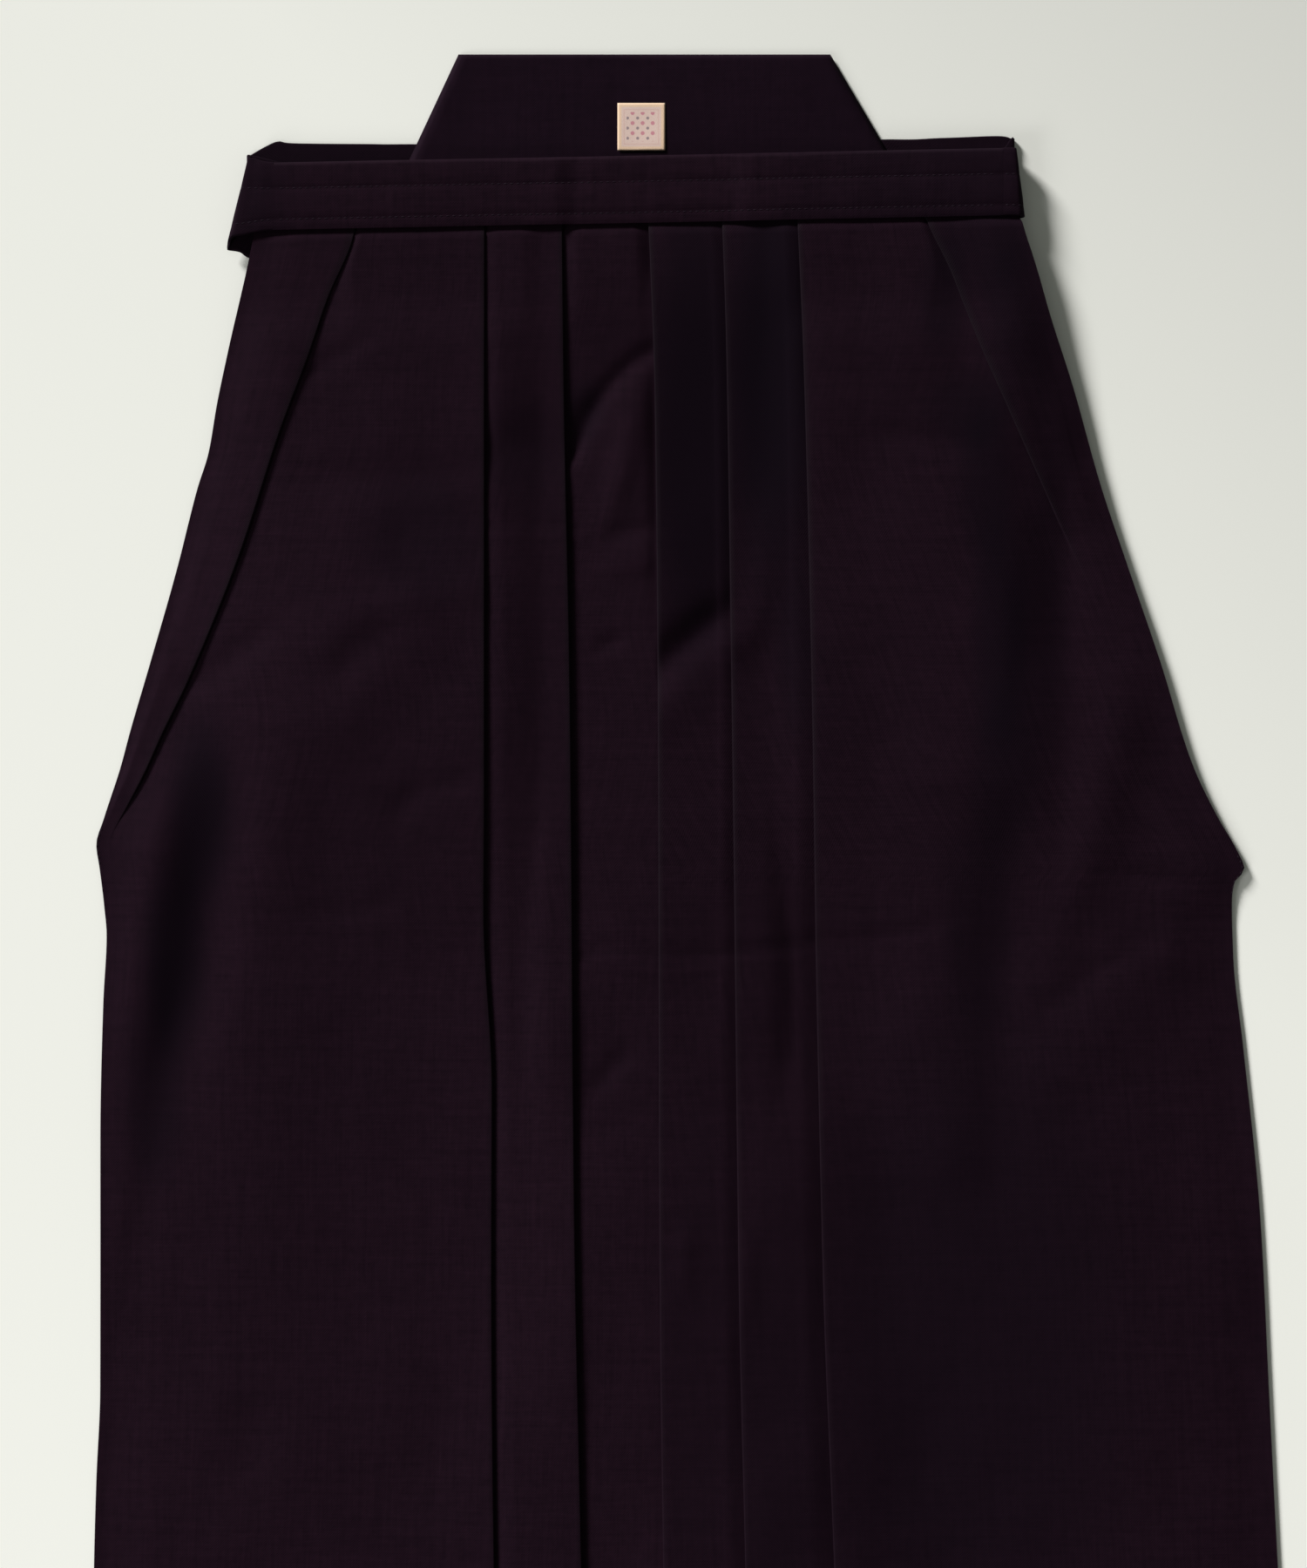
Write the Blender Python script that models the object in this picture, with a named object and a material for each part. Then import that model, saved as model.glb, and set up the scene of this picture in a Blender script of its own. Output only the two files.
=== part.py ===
"""Hakama trousers, laid flat with the front up.

Plan positions are worked out in millimetres: u runs to the viewer's right from the centre pleat,
v runs down from the top of the back board, and z rises from the surface the cloth lies on.
The wearer's right is the viewer's left. Every cloth piece is a wall between two sheets of points.
"""
import math

import bmesh
import bpy
import numpy as np

# ---------------------------------------------------------------- driving sizes, in millimetres

LENGTH = 1031.0              # top of the back board to the front hem
BACK_HEM = 1028.0            # the back hem stops just short of the front one
CENTRE_U = 23.5              # middle of the hem, where the origin stands
CLOTH = 1.0                  # thickness of the cloth wall
GAP = 0.3                    # clearance between neighbouring layers and pieces
STEP = CLOTH + GAP           # height from one piece to the next
FOLD_STEP = CLOTH + 0.5      # height from one folded layer of a piece to the next
FOLD_R = FOLD_STEP / 2       # middle radius of a pressed fold
LAYER_STEPS = 4              # stretches across a pleat's layer, the same in each so that they nest
LOW, MID, HIGH = CLOTH / 2, CLOTH / 2 + FOLD_STEP, CLOTH / 2 + 2 * FOLD_STEP
STACK = CLOTH + 2 * FOLD_STEP          # height of a pleat's three layers

PLEAT_DEPTH = 29.0           # how far a front pleat turns under
SEAM_UNDER = 24.0            # the centre seam lies this far under the middle pleat
BACK_CENTRE = 2.0            # line where the two back pleats meet
BACK_DEPTH = 45.0            # how far a back pleat turns under
EMERGE = 1.5                 # a strip stays low this far past the edge that covers it

BAND_WIDTH = 34.8            # front band, top edge to bottom edge
BAND_TOP = 52.3              # its top edge at the centre
BAND_TILT = -0.020           # the band rises this much for each millimetre to the right
BAND_CLOTH = 1.3
BAND_ROLL = 0.75             # its folded top is this share as deep as it is round
BAND_RIGHT, BAND_LEFT = -196.0, 180.0
TIE = 1.6                    # thickness of a folded tie

BOARD = 3.5                  # thickness of the covered back board
BOARD_HEIGHT = 80.0
BOARD_TOP_RIGHT, BOARD_TOP_LEFT = -100.8, 91.4
BOARD_FOOT_RIGHT, BOARD_FOOT_LEFT = -135.5, 136.4
BOARD_ROUND = 0.9

LABEL_SIZE = 24.6
LABEL_CENTRE = (-6.3, 37.2)
LABEL_CLOTH = 1.0

CROTCH = 600.0               # top of the two gussets
GUSSET_TOP_REACH, GUSSET_HEM_REACH = 8.0, 70.0

FRONT_TIE_WIDTH, BACK_TIE_WIDTH, BACK_TIE_WIDTH_LEFT = 34.5, 33.0, 36.0
FRONT_TIE_Z, BACK_TIE_Z = 4.6, 2.7             # middle heights of their layers inside the garment
BACK_TIE_FOOT = TIE / 2                        # middle height of a back tie beside the board
FRONT_BUNDLE_A, BACK_BUNDLE_A = 118.0, 158.0   # the folded-away lengths lie this far from the centre
BUNDLE_START, BUNDLE_END = 186.0, 340.0
BUNDLE_THICK = 5.6
BUNDLE_FLOOR = CLOTH + GAP + 0.1

# How far the cloth over each hidden thing stays at full height past its edge, and how it falls away.
BUNDLE_CLEAR, BUNDLE_SKIRT = 29.0, 58.0
TIE_CLEAR = 13.0
PLEATS_CLEAR, PLEATS_SKIRT = 9.0, 24.0
GUSSET_CLEAR, GUSSET_SKIRT = 16.0, 60.0
GUSSET_OFFSET = 30.0         # the left gusset lies this much further out than the right one
WAIST_RISE = 1.4             # the waist lies this much higher over the turned-in ties than at the middle
WAIST_RAMP = (56.0, 70.0)    # and climbs between these distances from the centre
BED_POWER = 6                # how tightly the cloth follows the highest thing under it

# Outlines and fold lines: columns are v, then u at that height.
RIGHT_EDGE = np.array([
    (52, -200.0), (88, -205.0), (107, -208.8), (152, -218.7), (206, -229.5), (260, -244.4), (314, -259.7),
    (368, -274.5), (395, -283.5), (408, -287.6), (420, -285.6), (450, -281.9), (490, -284.0),
    (560, -285.6), (690, -285.8), (781, -288.0), (1031, -291.2)])
LEFT_EDGE = np.array([
    (52, 183.0), (86, 187.0), (98, 193.5), (134, 204.3), (170, 216.0), (224, 231.3), (260, 243.5),
    (314, 261.9), (368, 279.0), (395, 292.1), (413, 302.0), (424, 306.0), (431, 299.6), (441, 298.8),
    (467, 299.7), (512, 304.7), (602, 313.7), (692, 318.2), (781, 322.7), (1031, 338.4)])
# The slanting side pleats also give the turn of the fold in degrees and the drop down to the main cloth.
SIDE_PLEAT_RIGHT = np.array([
    # v, u, turn, drop
    (52, -148.5, 180, 3.0), (94, -154.4, 180, 3.0), (126, -167.9, 180, 3.0), (193, -191.7, 180, 3.0),
    (261, -214.2, 180, 3.0), (325, -240.8, 180, 3.0), (350, -253.0, 180, 3.0), (372, -263.0, 140, 3.0),
    (388, -271.5, 90, 2.7), (400, -278.0, 45, 1.4), (408, -281.0, 0, 0.0), (450, -270.0, 0, 0.0),
    (1031, -276.0, 0, 0.0)])
SIDE_PLEAT_LEFT = np.array([
    (52, 132.0, 180, 3.0), (86, 142.2, 180, 3.0), (112, 157.5, 180, 3.0), (151, 171.5, 180, 3.0),
    (216, 199.8, 180, 3.0), (283, 230.4, 180, 3.0), (350, 262.0, 180, 3.0), (380, 276.5, 140, 3.0),
    (398, 285.0, 90, 2.7), (412, 293.0, 45, 1.4), (424, 297.0, 0, 0.0), (450, 287.0, 0, 0.0),
    (1031, 323.0, 0, 0.0)])
FOLD_1 = np.array([(52, -86.9), (377, -86.9), (444, -87.3), (534, -83.0), (624, -83.3), (1031, -77.5)])
FOLD_2 = np.array([(52, -47.3), (174, -45.9), (332, -42.8), (602, -40.5), (781, -36.9), (1031, -33.0)])
FOLD_3 = np.array([(52, -4.5), (120, -1.3), (174, 0.5), (355, 2.3), (624, 3.1), (781, 5.0), (1031, 9.0)])
FOLD_4 = np.array([(52, 34.0), (152, 37.4), (287, 39.6), (420, 41.4), (646, 44.1), (781, 47.3), (1031, 52.0)])
FOLD_5 = np.array([
    (52, 72.5), (165, 77.4), (322, 81.4), (489, 84.2), (646, 87.8), (781, 93.2), (1031, 102.0)])

RIGHT_ROWS = (58, 88, 104, 125, 150, 185, 225, 265, 308, 354, 374, 389, 400, 408, 440, 520, 600, 720,
              860, 1031)
LEFT_ROWS = (58, 88, 104, 125, 150, 185, 225, 265, 308, 354, 382, 398, 412, 424, 433, 455, 520, 600, 720,
             860, 1031)
GUSSET_ROWS = (CROTCH, 680, 780, 900, 1026)
BACK_ROWS = (80.3, 110, 150, 220, 305, 370, 408, 424, 433, 455, 520, 600, 700, 800, 910, BACK_HEM)
OPENING_INSET = 5.0          # beside the side openings the back lies this far inside the front

# Broad soft folds of the front: two ends, half width, height.
SOFT_FOLDS = (
    # u0, v0, u1, v1, half width, height
    (-238.0, 470.0, -262.0, 640.0, 22.0, 2.2),
    (-205.0, 380.0, -200.0, 620.0, 30.0, 1.8),
    (-125.0, 300.0, -165.0, 345.0, 20.0, 1.2),
    (215.0, 330.0, 190.0, 480.0, 20.0, 2.4),
    (150.0, 380.0, 145.0, 560.0, 28.0, 1.6),
    (262.0, 470.0, 215.0, 520.0, 20.0, 1.6),
)

CLOTH_COLOUR = (0.0098, 0.0046, 0.0082, 1.0)
LABEL_COLOUR = (0.72, 0.46, 0.33, 1.0)


# ---------------------------------------------------------------- small helpers

def smooth(value, start, end):
    """Rise from 0 at start to 1 at end with level ends."""
    part = np.clip((value - start) / (end - start), 0.0, 1.0)
    return part * part * (3.0 - 2.0 * part)


def plateau(value, low, high, skirt):
    """1 between low and high, falling to 0 across a skirt on either side."""
    return smooth(value, low - skirt, low) * (1.0 - smooth(value, high, high + skirt))


def along(line, v, column=1):
    """Read a column of a line's table at height v."""
    return np.interp(v, line[:, 0], line[:, column])


def distance_to_path(u, v, path):
    """Plan distance from each point to a path of straight stretches."""
    nearest = np.full(np.broadcast(u, v).shape, 1e9)
    for (u0, v0), (u1, v1) in zip(path[:-1], path[1:]):
        du, dv = u1 - u0, v1 - v0
        share = np.clip(((u - u0) * du + (v - v0) * dv) / (du * du + dv * dv), 0.0, 1.0)
        nearest = np.minimum(nearest, np.hypot(u - u0 - share * du, v - v0 - share * dv))
    return nearest


def band_top(u):
    """Height of the front band's top edge."""
    return BAND_TOP + BAND_TILT * u


# ---------------------------------------------------------------- the folded-away ties

def bend(centre_a, centre_v, radius, start, end, steps):
    """Middle points of a tie that turns from heading inward to heading down, with its tilt."""
    rows = []
    for turn in np.linspace(start, end, steps):
        angle = math.radians(turn)
        rows.append((centre_a - radius * math.sin(angle), centre_v - radius * math.cos(angle), turn))
    return rows


def arc(centre_a, centre_z, radius, rows):
    """Stations round an end fold: rows give v, tilt, width and roll."""
    stations = []
    for v, tilt, width, roll in rows:
        spin = math.radians(roll)
        stations.append((centre_a + radius * math.sin(spin), v, centre_z + radius * math.cos(spin),
                         tilt, width, TIE, roll))
    return stations


def flat(points, z, width, roll):
    """Stations of a single flat layer along points of a, v, tilt."""
    return [(a, v, z, tilt, width, TIE, roll) for a, v, tilt in points]


def bundle(a, width, level, roll):
    """Stations of a tie that comes down as one layer and lies folded to and fro in a flat bundle."""
    middle = BUNDLE_FLOOR + BUNDLE_THICK / 2
    half_way = (BUNDLE_START + BUNDLE_END) / 2
    shape = (
        # v, height, thickness, drawn in
        (BUNDLE_START - 18, level, TIE, 0.0), (BUNDLE_START, middle, 0.8 * BUNDLE_THICK, 0.0),
        (BUNDLE_START + 14, middle, BUNDLE_THICK, 0.0), (half_way, middle, BUNDLE_THICK, 0.8),
        (BUNDLE_END - 8, middle, BUNDLE_THICK, 0.0), (BUNDLE_END, middle, 0.5 * BUNDLE_THICK, 3.0))
    return [(a, v, z, 90.0, width - narrower, thick, roll) for v, z, thick, narrower in shape]


FRONT_BEND_RIGHT = bend(168.0, 166.7, 50.0, 36.0, 90.0, 4)
FRONT_BEND_LEFT = bend(150.0, 104.9, 32.0, 9.0, 90.0, 5)
BACK_BEND_RIGHT = bend(185.0, 90.2, 27.0, 0.0, 90.0, 4)
BACK_BEND_LEFT = bend(180.0, 83.7, 22.0, 0.0, 90.0, 4)
FRONT_RUN_RIGHT = [(-213.0, 74.0), (-205.0, 78.0)] + [(-a, v) for a, v, _ in FRONT_BEND_RIGHT]
FRONT_RUN_LEFT = [(188.0, 66.6)] + [(a, v) for a, v, _ in FRONT_BEND_LEFT] + [(118.0, 170.0)]
BACK_RUN = [(BACK_BUNDLE_A, 70.0), (BACK_BUNDLE_A, 175.0)]


def over_tie(u, v, path, width, level):
    """Height of cloth lying over one tie layer, falling away on both sides of it."""
    clear = width / 2 + TIE_CLEAR
    return (level + TIE / 2 + GAP) * (1 - smooth(distance_to_path(u, v, path), clear, clear + BUNDLE_SKIRT))


def bed(u, v):
    """Height on which the front's lowest layer lies: the highest of the things folded under it."""
    over_back = STEP + 0.0 * u
    pleats_reach = BACK_DEPTH + PLEATS_CLEAR
    over_back_pleats = (STACK + GAP) * plateau(u - BACK_CENTRE, -pleats_reach, pleats_reach, PLEATS_SKIRT)
    reach = gusset_reach(v) + GUSSET_CLEAR
    over_gussets = (STACK + 2 * STEP + GAP) * plateau(u, -reach, GUSSET_OFFSET + reach, GUSSET_SKIRT)
    over_gussets = over_gussets * smooth(v, CROTCH - 70, CROTCH)
    bundle_top = BUNDLE_FLOOR + BUNDLE_THICK + GAP
    bundles = plateau(np.abs(u), FRONT_BUNDLE_A - BUNDLE_CLEAR, BACK_BUNDLE_A + BUNDLE_CLEAR, BUNDLE_SKIRT)
    bundles = bundles * plateau(v, BUNDLE_START - 36, BUNDLE_END + 12, 62.0) * bundle_top
    run_right = over_tie(u, v, FRONT_RUN_RIGHT, FRONT_TIE_WIDTH, FRONT_TIE_Z)
    run_left = over_tie(u, v, FRONT_RUN_LEFT, FRONT_TIE_WIDTH, FRONT_TIE_Z)
    back_run = over_tie(np.abs(u), v, BACK_RUN, BACK_TIE_WIDTH_LEFT, BACK_TIE_Z)
    waist_level = max(BOARD, STACK) + 2 * GAP + BAND_CLOTH + WAIST_RISE * smooth(np.abs(u), *WAIST_RAMP)
    waist = waist_level * (1 - smooth(v, 96.0, 165.0))
    layers = (over_back, over_back_pleats, over_gussets, bundles, run_right, run_left, back_run, waist)
    height = sum(layer ** BED_POWER for layer in layers) ** (1 / BED_POWER)
    for u0, v0, u1, v1, half_width, rise in SOFT_FOLDS:
        apart = distance_to_path(u, v, [(u0, v0), (u1, v1)])
        height = height + rise * (1 - smooth(apart, 0.0, 1.6 * half_width))
    return height


def no_lift(u, v):
    """Pieces that lie on the surface itself, or carry their own height."""
    return np.zeros(np.broadcast(u, v).shape)


def gusset_reach(v):
    """How far a gusset lies beside the centre seam at height v."""
    return np.interp(v, (CROTCH, LENGTH), (GUSSET_TOP_REACH, GUSSET_HEM_REACH))


# ---------------------------------------------------------------- cross-sections

def run(start, end, count):
    """Points from start up to but not including end."""
    return [(start[0] + (end[0] - start[0]) * i / count, start[1] + (end[1] - start[1]) * i / count)
            for i in range(count)]


def ease(start, end, count):
    """Points from start up to but not including end, leaving and arriving level."""
    points = []
    for i in range(count):
        share = i / count
        points.append((start[0] + (end[0] - start[0]) * share,
                       start[1] + (end[1] - start[1]) * share * share * (3 - 2 * share)))
    return points


def turn(centre, level, side, rise, steps=3):
    """Half circle round a pressed fold, from level to the next layer; side is where it bulges."""
    points = []
    for i in range(steps):
        angle = math.pi * i / steps
        points.append((centre + side * FOLD_R * math.sin(angle),
                       level + rise * FOLD_R * (1 - math.cos(angle))))
    return points


def side_pleat(fold, level, degrees, drop, overlap, side):
    """The slanting pleat's path from its upper strip down to the main cloth, and where that starts.

    Two arcs turn it by degrees one way and back again, with a straight stretch between them.
    A stretch that lies over others is cut into LAYER_STEPS, so that all of them bend alike.
    """
    angle = math.radians(degrees)
    centre = fold - side * (FOLD_R + CLOTH / 2)
    if degrees == 0:
        lower = centre + side * 3.0
        return run((centre, level), (lower, level), 6 + LAYER_STEPS), lower
    radius = FOLD_R
    length = overlap
    if degrees < 180:
        radius = min(FOLD_R * 180 / degrees, 0.42 * drop / (1 - math.cos(angle)))
        length = (drop - 2 * radius * (1 - math.cos(angle))) / math.sin(angle)
    parts = angle * np.arange(4) / 3
    upper_arc = [(centre + side * radius * math.sin(p), level - radius * (1 - math.cos(p))) for p in parts]
    first = upper_arc.pop()
    second = (first[0] + side * length * math.cos(angle), first[1] - length * math.sin(angle))
    lower = second[0] + side * radius * math.sin(angle)
    lower_arc = [(lower - side * radius * math.sin(p), second[1] - radius * (math.cos(p) - math.cos(angle)))
                 for p in parts[:0:-1]]
    return upper_arc + run(first, second, LAYER_STEPS) + lower_arc, lower


def front_section(v, edge_line, side_line, folds, side, closing):
    """Middle line of a front panel's cross-section from its outer edge to the centre seam."""
    edge = along(edge_line, v)
    crest = along(side_line, v)
    degrees = along(side_line, v, 2)
    drop = along(side_line, v, 3)
    width = abs(crest - edge)
    level = LOW + drop
    overlap = 0.5 * width - 1.0
    hidden = crest - side * (overlap + 2.5)
    strip_end = crest - side * (FOLD_R + CLOTH / 2)
    climb_end = hidden if degrees >= 180 else edge + 0.6 * (strip_end - edge)
    points = ease((edge, LOW), (climb_end, level), 4)
    points += run((climb_end, level), (strip_end, level), LAYER_STEPS)
    pleat, start = side_pleat(crest, level, degrees, drop, overlap, side)
    points += pleat
    cover = crest
    longest_ramp = 6.0 + 54.0 * smooth(v, 95.0, 200.0)
    for fold in folds:
        x_fold = along(fold, v)
        emerge = side * max(side * cover, side * start) + side * EMERGE
        inner = x_fold - side * (PLEAT_DEPTH + 1.5)
        ramp_end = emerge + side * min(longest_ramp, abs(inner - emerge))
        fold_centre = x_fold - side * (FOLD_R + CLOTH / 2)
        points += run((start, LOW), (emerge, LOW), LAYER_STEPS)
        points += ease((emerge, LOW), (ramp_end, HIGH), 3)
        if cover == crest:
            points += run((ramp_end, HIGH), (inner, HIGH), 4)
            ramp_end = inner
        points += run((ramp_end, HIGH), (fold_centre, HIGH), LAYER_STEPS)
        points += turn(fold_centre, HIGH, side, -1)
        if fold is folds[-1] and closing == "return":
            seam = x_fold - side * PLEAT_DEPTH
            drop_start = x_fold - side * (SEAM_UNDER + 1.5)
            points += run((fold_centre, MID), (drop_start, MID), LAYER_STEPS)
            points += ease((drop_start, MID), (seam, LOW), 3) + [(seam, LOW)]
            return points
        back = x_fold - side * (PLEAT_DEPTH - FOLD_R - CLOTH / 2)
        points += run((fold_centre, MID), (back, MID), LAYER_STEPS)
        points += turn(back, MID, -side, -1)
        start = back
        cover = x_fold
    seam = along(FOLD_3, v) + SEAM_UNDER
    over_pleats = BACK_CENTRE - BACK_DEPTH - 6
    points += run((start, LOW), (over_pleats, LOW), 3)
    points += run((over_pleats, LOW), (seam, LOW), 3) + [(seam, LOW)]
    return points


def back_section(v, edge_line, side):
    """Middle line of a back panel from its outer edge, round its pleat, to the centre seam."""
    inset = OPENING_INSET * (1 - smooth(v, 380.0, 408.0 if side > 0 else 424.0))
    edge = along(edge_line, v) + side * inset
    meet = BACK_CENTRE - side * (GAP / 2 + CLOTH / 2 + FOLD_R)
    inner = BACK_CENTRE - side * (BACK_DEPTH - FOLD_R - CLOTH / 2)
    points = run((edge, LOW), (meet, LOW), 5)
    points += turn(meet, LOW, side, 1)
    points += run((meet, MID), (inner, MID), 2)
    points += turn(inner, MID, -side, 1)
    seam = BACK_CENTRE - side * GAP / 2
    points += run((inner, HIGH), (seam, HIGH), 2) + [(seam, HIGH)]
    return points


def gusset_section(v, side):
    """Middle line of a gusset: from the front seam out to its fold and back to the back seam."""
    lower, upper = STACK + GAP + CLOTH / 2, STACK + GAP + STEP + CLOTH / 2
    front_seam = along(FOLD_3, v) + (SEAM_UNDER if side < 0 else SEAM_UNDER + 1.2)
    reach = gusset_reach(v)
    fold = -reach if side < 0 else GUSSET_OFFSET + reach
    back_seam = BACK_CENTRE + side * GAP
    points = run((front_seam, upper), (fold, upper), 4)
    points += turn(fold, upper, side, -1)
    points += run((fold, lower), (back_seam, lower), 4) + [(back_seam, lower)]
    return points


def wall_sides(points, thickness):
    """Move a section's middle line half a thickness to both sides along its mitred normals."""
    line = np.array(points)
    steps = np.diff(line, axis=0)
    steps /= np.linalg.norm(steps, axis=1)[:, None]
    normals = np.stack([-steps[:, 1], steps[:, 0]], axis=1)
    joint = np.vstack([normals[:1], normals[:-1] + normals[1:], normals[-1:]])
    joint /= np.linalg.norm(joint, axis=1)[:, None]
    lean = np.concatenate([[1.0], np.einsum("ij,ij->i", joint[1:-1], normals[1:]), [1.0]])
    offset = joint * (thickness / 2 / np.maximum(lean, 0.7))[:, None]
    return line + offset, line - offset


# ---------------------------------------------------------------- meshes

def to_world(u, v, z):
    """Turn plan millimetres into metres about the origin under the middle of the garment."""
    return np.stack([(u - CENTRE_U) / 1000, (LENGTH / 2 - v) / 1000, z / 1000], axis=-1)


def material(name, colour, roughness):
    """A plain cloth finish."""
    made = bpy.data.materials.new(name)
    made.use_nodes = True
    shader = made.node_tree.nodes["Principled BSDF"]
    shader.inputs["Base Color"].default_value = colour
    shader.inputs["Roughness"].default_value = roughness
    shader.inputs["Metallic"].default_value = 0.0
    made.diffuse_color = colour
    return made


def add_object(name, vertices, faces, finish):
    """Make a closed mesh object with its faces pointing out."""
    mesh = bpy.data.meshes.new(name)
    mesh.from_pydata(vertices.tolist(), [], faces)
    shape = bmesh.new()
    shape.from_mesh(mesh)
    bmesh.ops.recalc_face_normals(shape, faces=shape.faces)
    shape.to_mesh(mesh)
    shape.free()
    mesh.materials.append(finish)
    made = bpy.data.objects.new(name, mesh)
    bpy.context.scene.collection.objects.link(made)
    return made


def ring_loft(name, rings, finish):
    """Join closed rings of equal count into a solid, with a fan of quads over each end.

    Each ring lists one side's points forwards and the other side's points backwards.
    """
    rings = np.asarray(rings)
    rows, count = rings.shape[:2]
    faces = []
    for row in range(rows - 1):
        for i in range(count):
            after = (i + 1) % count
            faces.append((row * count + i, row * count + after,
                          (row + 1) * count + after, (row + 1) * count + i))
    for row in (0, rows - 1):
        first = row * count
        for i in range(count // 2 - 1):
            faces.append((first + i, first + i + 1, first + count - 2 - i, first + count - 1 - i))
    return add_object(name, rings.reshape(-1, 3), faces, finish)


def cloth_panel(name, rows, section, lift, tilt, finish):
    """Loft a folded cloth wall down its rows.

    lift gives the height its lowest layer lies on, and tilt slants its top rows along the band.
    """
    rings = []
    for v in rows:
        upper, lower = wall_sides(section(v), CLOTH)
        ring = np.vstack([upper, lower[::-1]])
        height = v + tilt * ring[:, 0] * (1 - smooth(v, 100.0, 400.0))
        rings.append(to_world(ring[:, 0], height, ring[:, 1] + lift(ring[:, 0], height)))
    return ring_loft(name, rings, finish)


def waist_levels(u):
    """Lowest and highest level of the front's lowest layer inside the band near u."""
    nearby, heights = np.meshgrid((u - 18.0, u - 9.0, u, u + 9.0, u + 18.0), (54.0, 70.0, 88.0))
    levels = bed(nearby, heights)
    return float(levels.min()), float(levels.max())


def front_band(finish):
    """The band folds over the front's top edge: a long front leg, a round top and a back leg."""
    rings = []
    for u in np.linspace(BAND_RIGHT, BAND_LEFT, 23):
        top = band_top(u)
        lowest, highest = waist_levels(u)
        front_z = highest + STACK + GAP + BAND_CLOTH / 2
        back_z = lowest - GAP - BAND_CLOTH / 2
        radius = (front_z - back_z) / 2
        middle = top + BAND_CLOTH / 2 + BAND_ROLL * radius
        points = run((top + BAND_WIDTH, front_z), (middle, front_z), 4)
        for angle in np.linspace(0.0, math.pi, 6)[:-1]:
            points.append((middle - BAND_ROLL * radius * math.sin(angle),
                           back_z + radius * (1 + math.cos(angle))))
        points += run((middle, back_z), (top + BAND_WIDTH - 2, back_z), 2)
        points.append((top + BAND_WIDTH - 2, back_z))
        upper, lower = wall_sides(points, BAND_CLOTH)
        ring = np.vstack([upper, lower[::-1]])
        rings.append(to_world(np.full(len(ring), u), ring[:, 0], ring[:, 1]))
    return ring_loft("front_band", rings, finish)


EDGE_PROFILE = np.array([
    # across the thickness from -1 to 1, and how far the edge draws in, for layered edges
    (-1.0, 0.5), (-0.6, 0.0), (-0.3, 0.7), (0.0, 0.0), (0.3, 0.7), (0.6, 0.0), (1.0, 0.5)])


def tie(name, rows, sign, finish):
    """Loft a flat strip through stations: a, v, z, tilt, width, thickness, roll.

    a is the distance out from the centre line, tilt turns the strip's cross line in plan with its
    lower end outward, and roll carries the strip round a fold: 0 faces up, 90 out, 180 down.
    """
    rings = []
    for a, v, z, tilt, width, thickness, roll in rows:
        lean, spin = math.radians(tilt), math.radians(roll)
        across = np.array([math.sin(lean), math.cos(lean), 0.0])
        outward = np.array([math.cos(lean), -math.sin(lean), 0.0])
        facing = math.cos(spin) * np.array([0.0, 0.0, 1.0]) + math.sin(spin) * outward
        depth = EDGE_PROFILE[:, 0] * thickness / 2
        draw = EDGE_PROFILE[:, 1] * min(1.0, (thickness / 4.0) ** 2 + 0.1)
        near = np.outer(depth, facing) + np.outer(width / 2 - draw, across)
        far = np.outer(depth, facing) - np.outer(width / 2 - draw, across)
        ring = np.array([a, v, z]) + np.vstack([near, far[::-1]])
        rings.append(to_world(sign * ring[:, 0], ring[:, 1], ring[:, 2]))
    return ring_loft(name, rings, finish)


# ---------------------------------------------------------------- the ties' stations

def waist_front_height(u):
    """Middle height of the front band's face at u."""
    return waist_levels(u)[1] + STACK + GAP + BAND_CLOTH / 2


def front_tie_right_rows():
    """From the band's end out, back under round a slanting fold, and down to its bundle."""
    top = waist_front_height(BAND_RIGHT)
    rows = [(196.3, 73.6, top, 0.0, BAND_WIDTH, BAND_CLOTH, 0.0),
            (201.0, 73.7, top - 0.5, 2.0, 35.5, 1.4, 8.0),
            (206.0, 73.8, top - 1.5, 5.0, 37.0, 1.5, 14.0)]
    rows += arc(210.6, FRONT_TIE_Z + 2.6, 2.6, (
        # v, tilt, width, roll
        (74.0, 9.0, 40.0, 25.0), (74.0, 12.0, 43.0, 55.0), (74.0, 14.4, 44.4, 90.0),
        (75.0, 16.5, 43.0, 125.0), (76.5, 19.5, 41.0, 155.0), (78.0, 23.0, 39.0, 180.0)))
    rows += flat([(203.0, 80.0, 29.0), (192.0, 88.0, 35.0), (165.0, 107.4, 36.0)] + FRONT_BEND_RIGHT,
                 FRONT_TIE_Z, FRONT_TIE_WIDTH, 180.0)
    return rows + bundle(FRONT_BUNDLE_A, FRONT_TIE_WIDTH, FRONT_TIE_Z, 180.0)


def front_tie_left_rows():
    """From the band's end out, back under round an almost upright fold, and down to its bundle."""
    top = waist_front_height(BAND_LEFT)
    rows = [(180.3, 66.1, top, 0.0, BAND_WIDTH, BAND_CLOTH, 0.0),
            (182.6, 66.1, top - 0.8, 1.0, BAND_WIDTH, 1.4, 14.0)]
    rows += arc(185.6, FRONT_TIE_Z + 2.9, 2.9, (
        # v, tilt, width, roll
        (66.2, 2.0, 35.0, 25.0), (66.4, 3.5, 35.3, 55.0), (66.6, 4.6, 35.5, 90.0),
        (66.8, 5.5, 35.3, 125.0), (67.0, 6.5, 35.0, 155.0), (67.2, 7.5, 35.0, 180.0)))
    rows += flat([(180.0, 68.0, 8.5), (165.0, 70.2, 8.8)] + FRONT_BEND_LEFT,
                 FRONT_TIE_Z, FRONT_TIE_WIDTH, 180.0)
    return rows + bundle(FRONT_BUNDLE_A, FRONT_TIE_WIDTH, FRONT_TIE_Z, 180.0)


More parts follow.
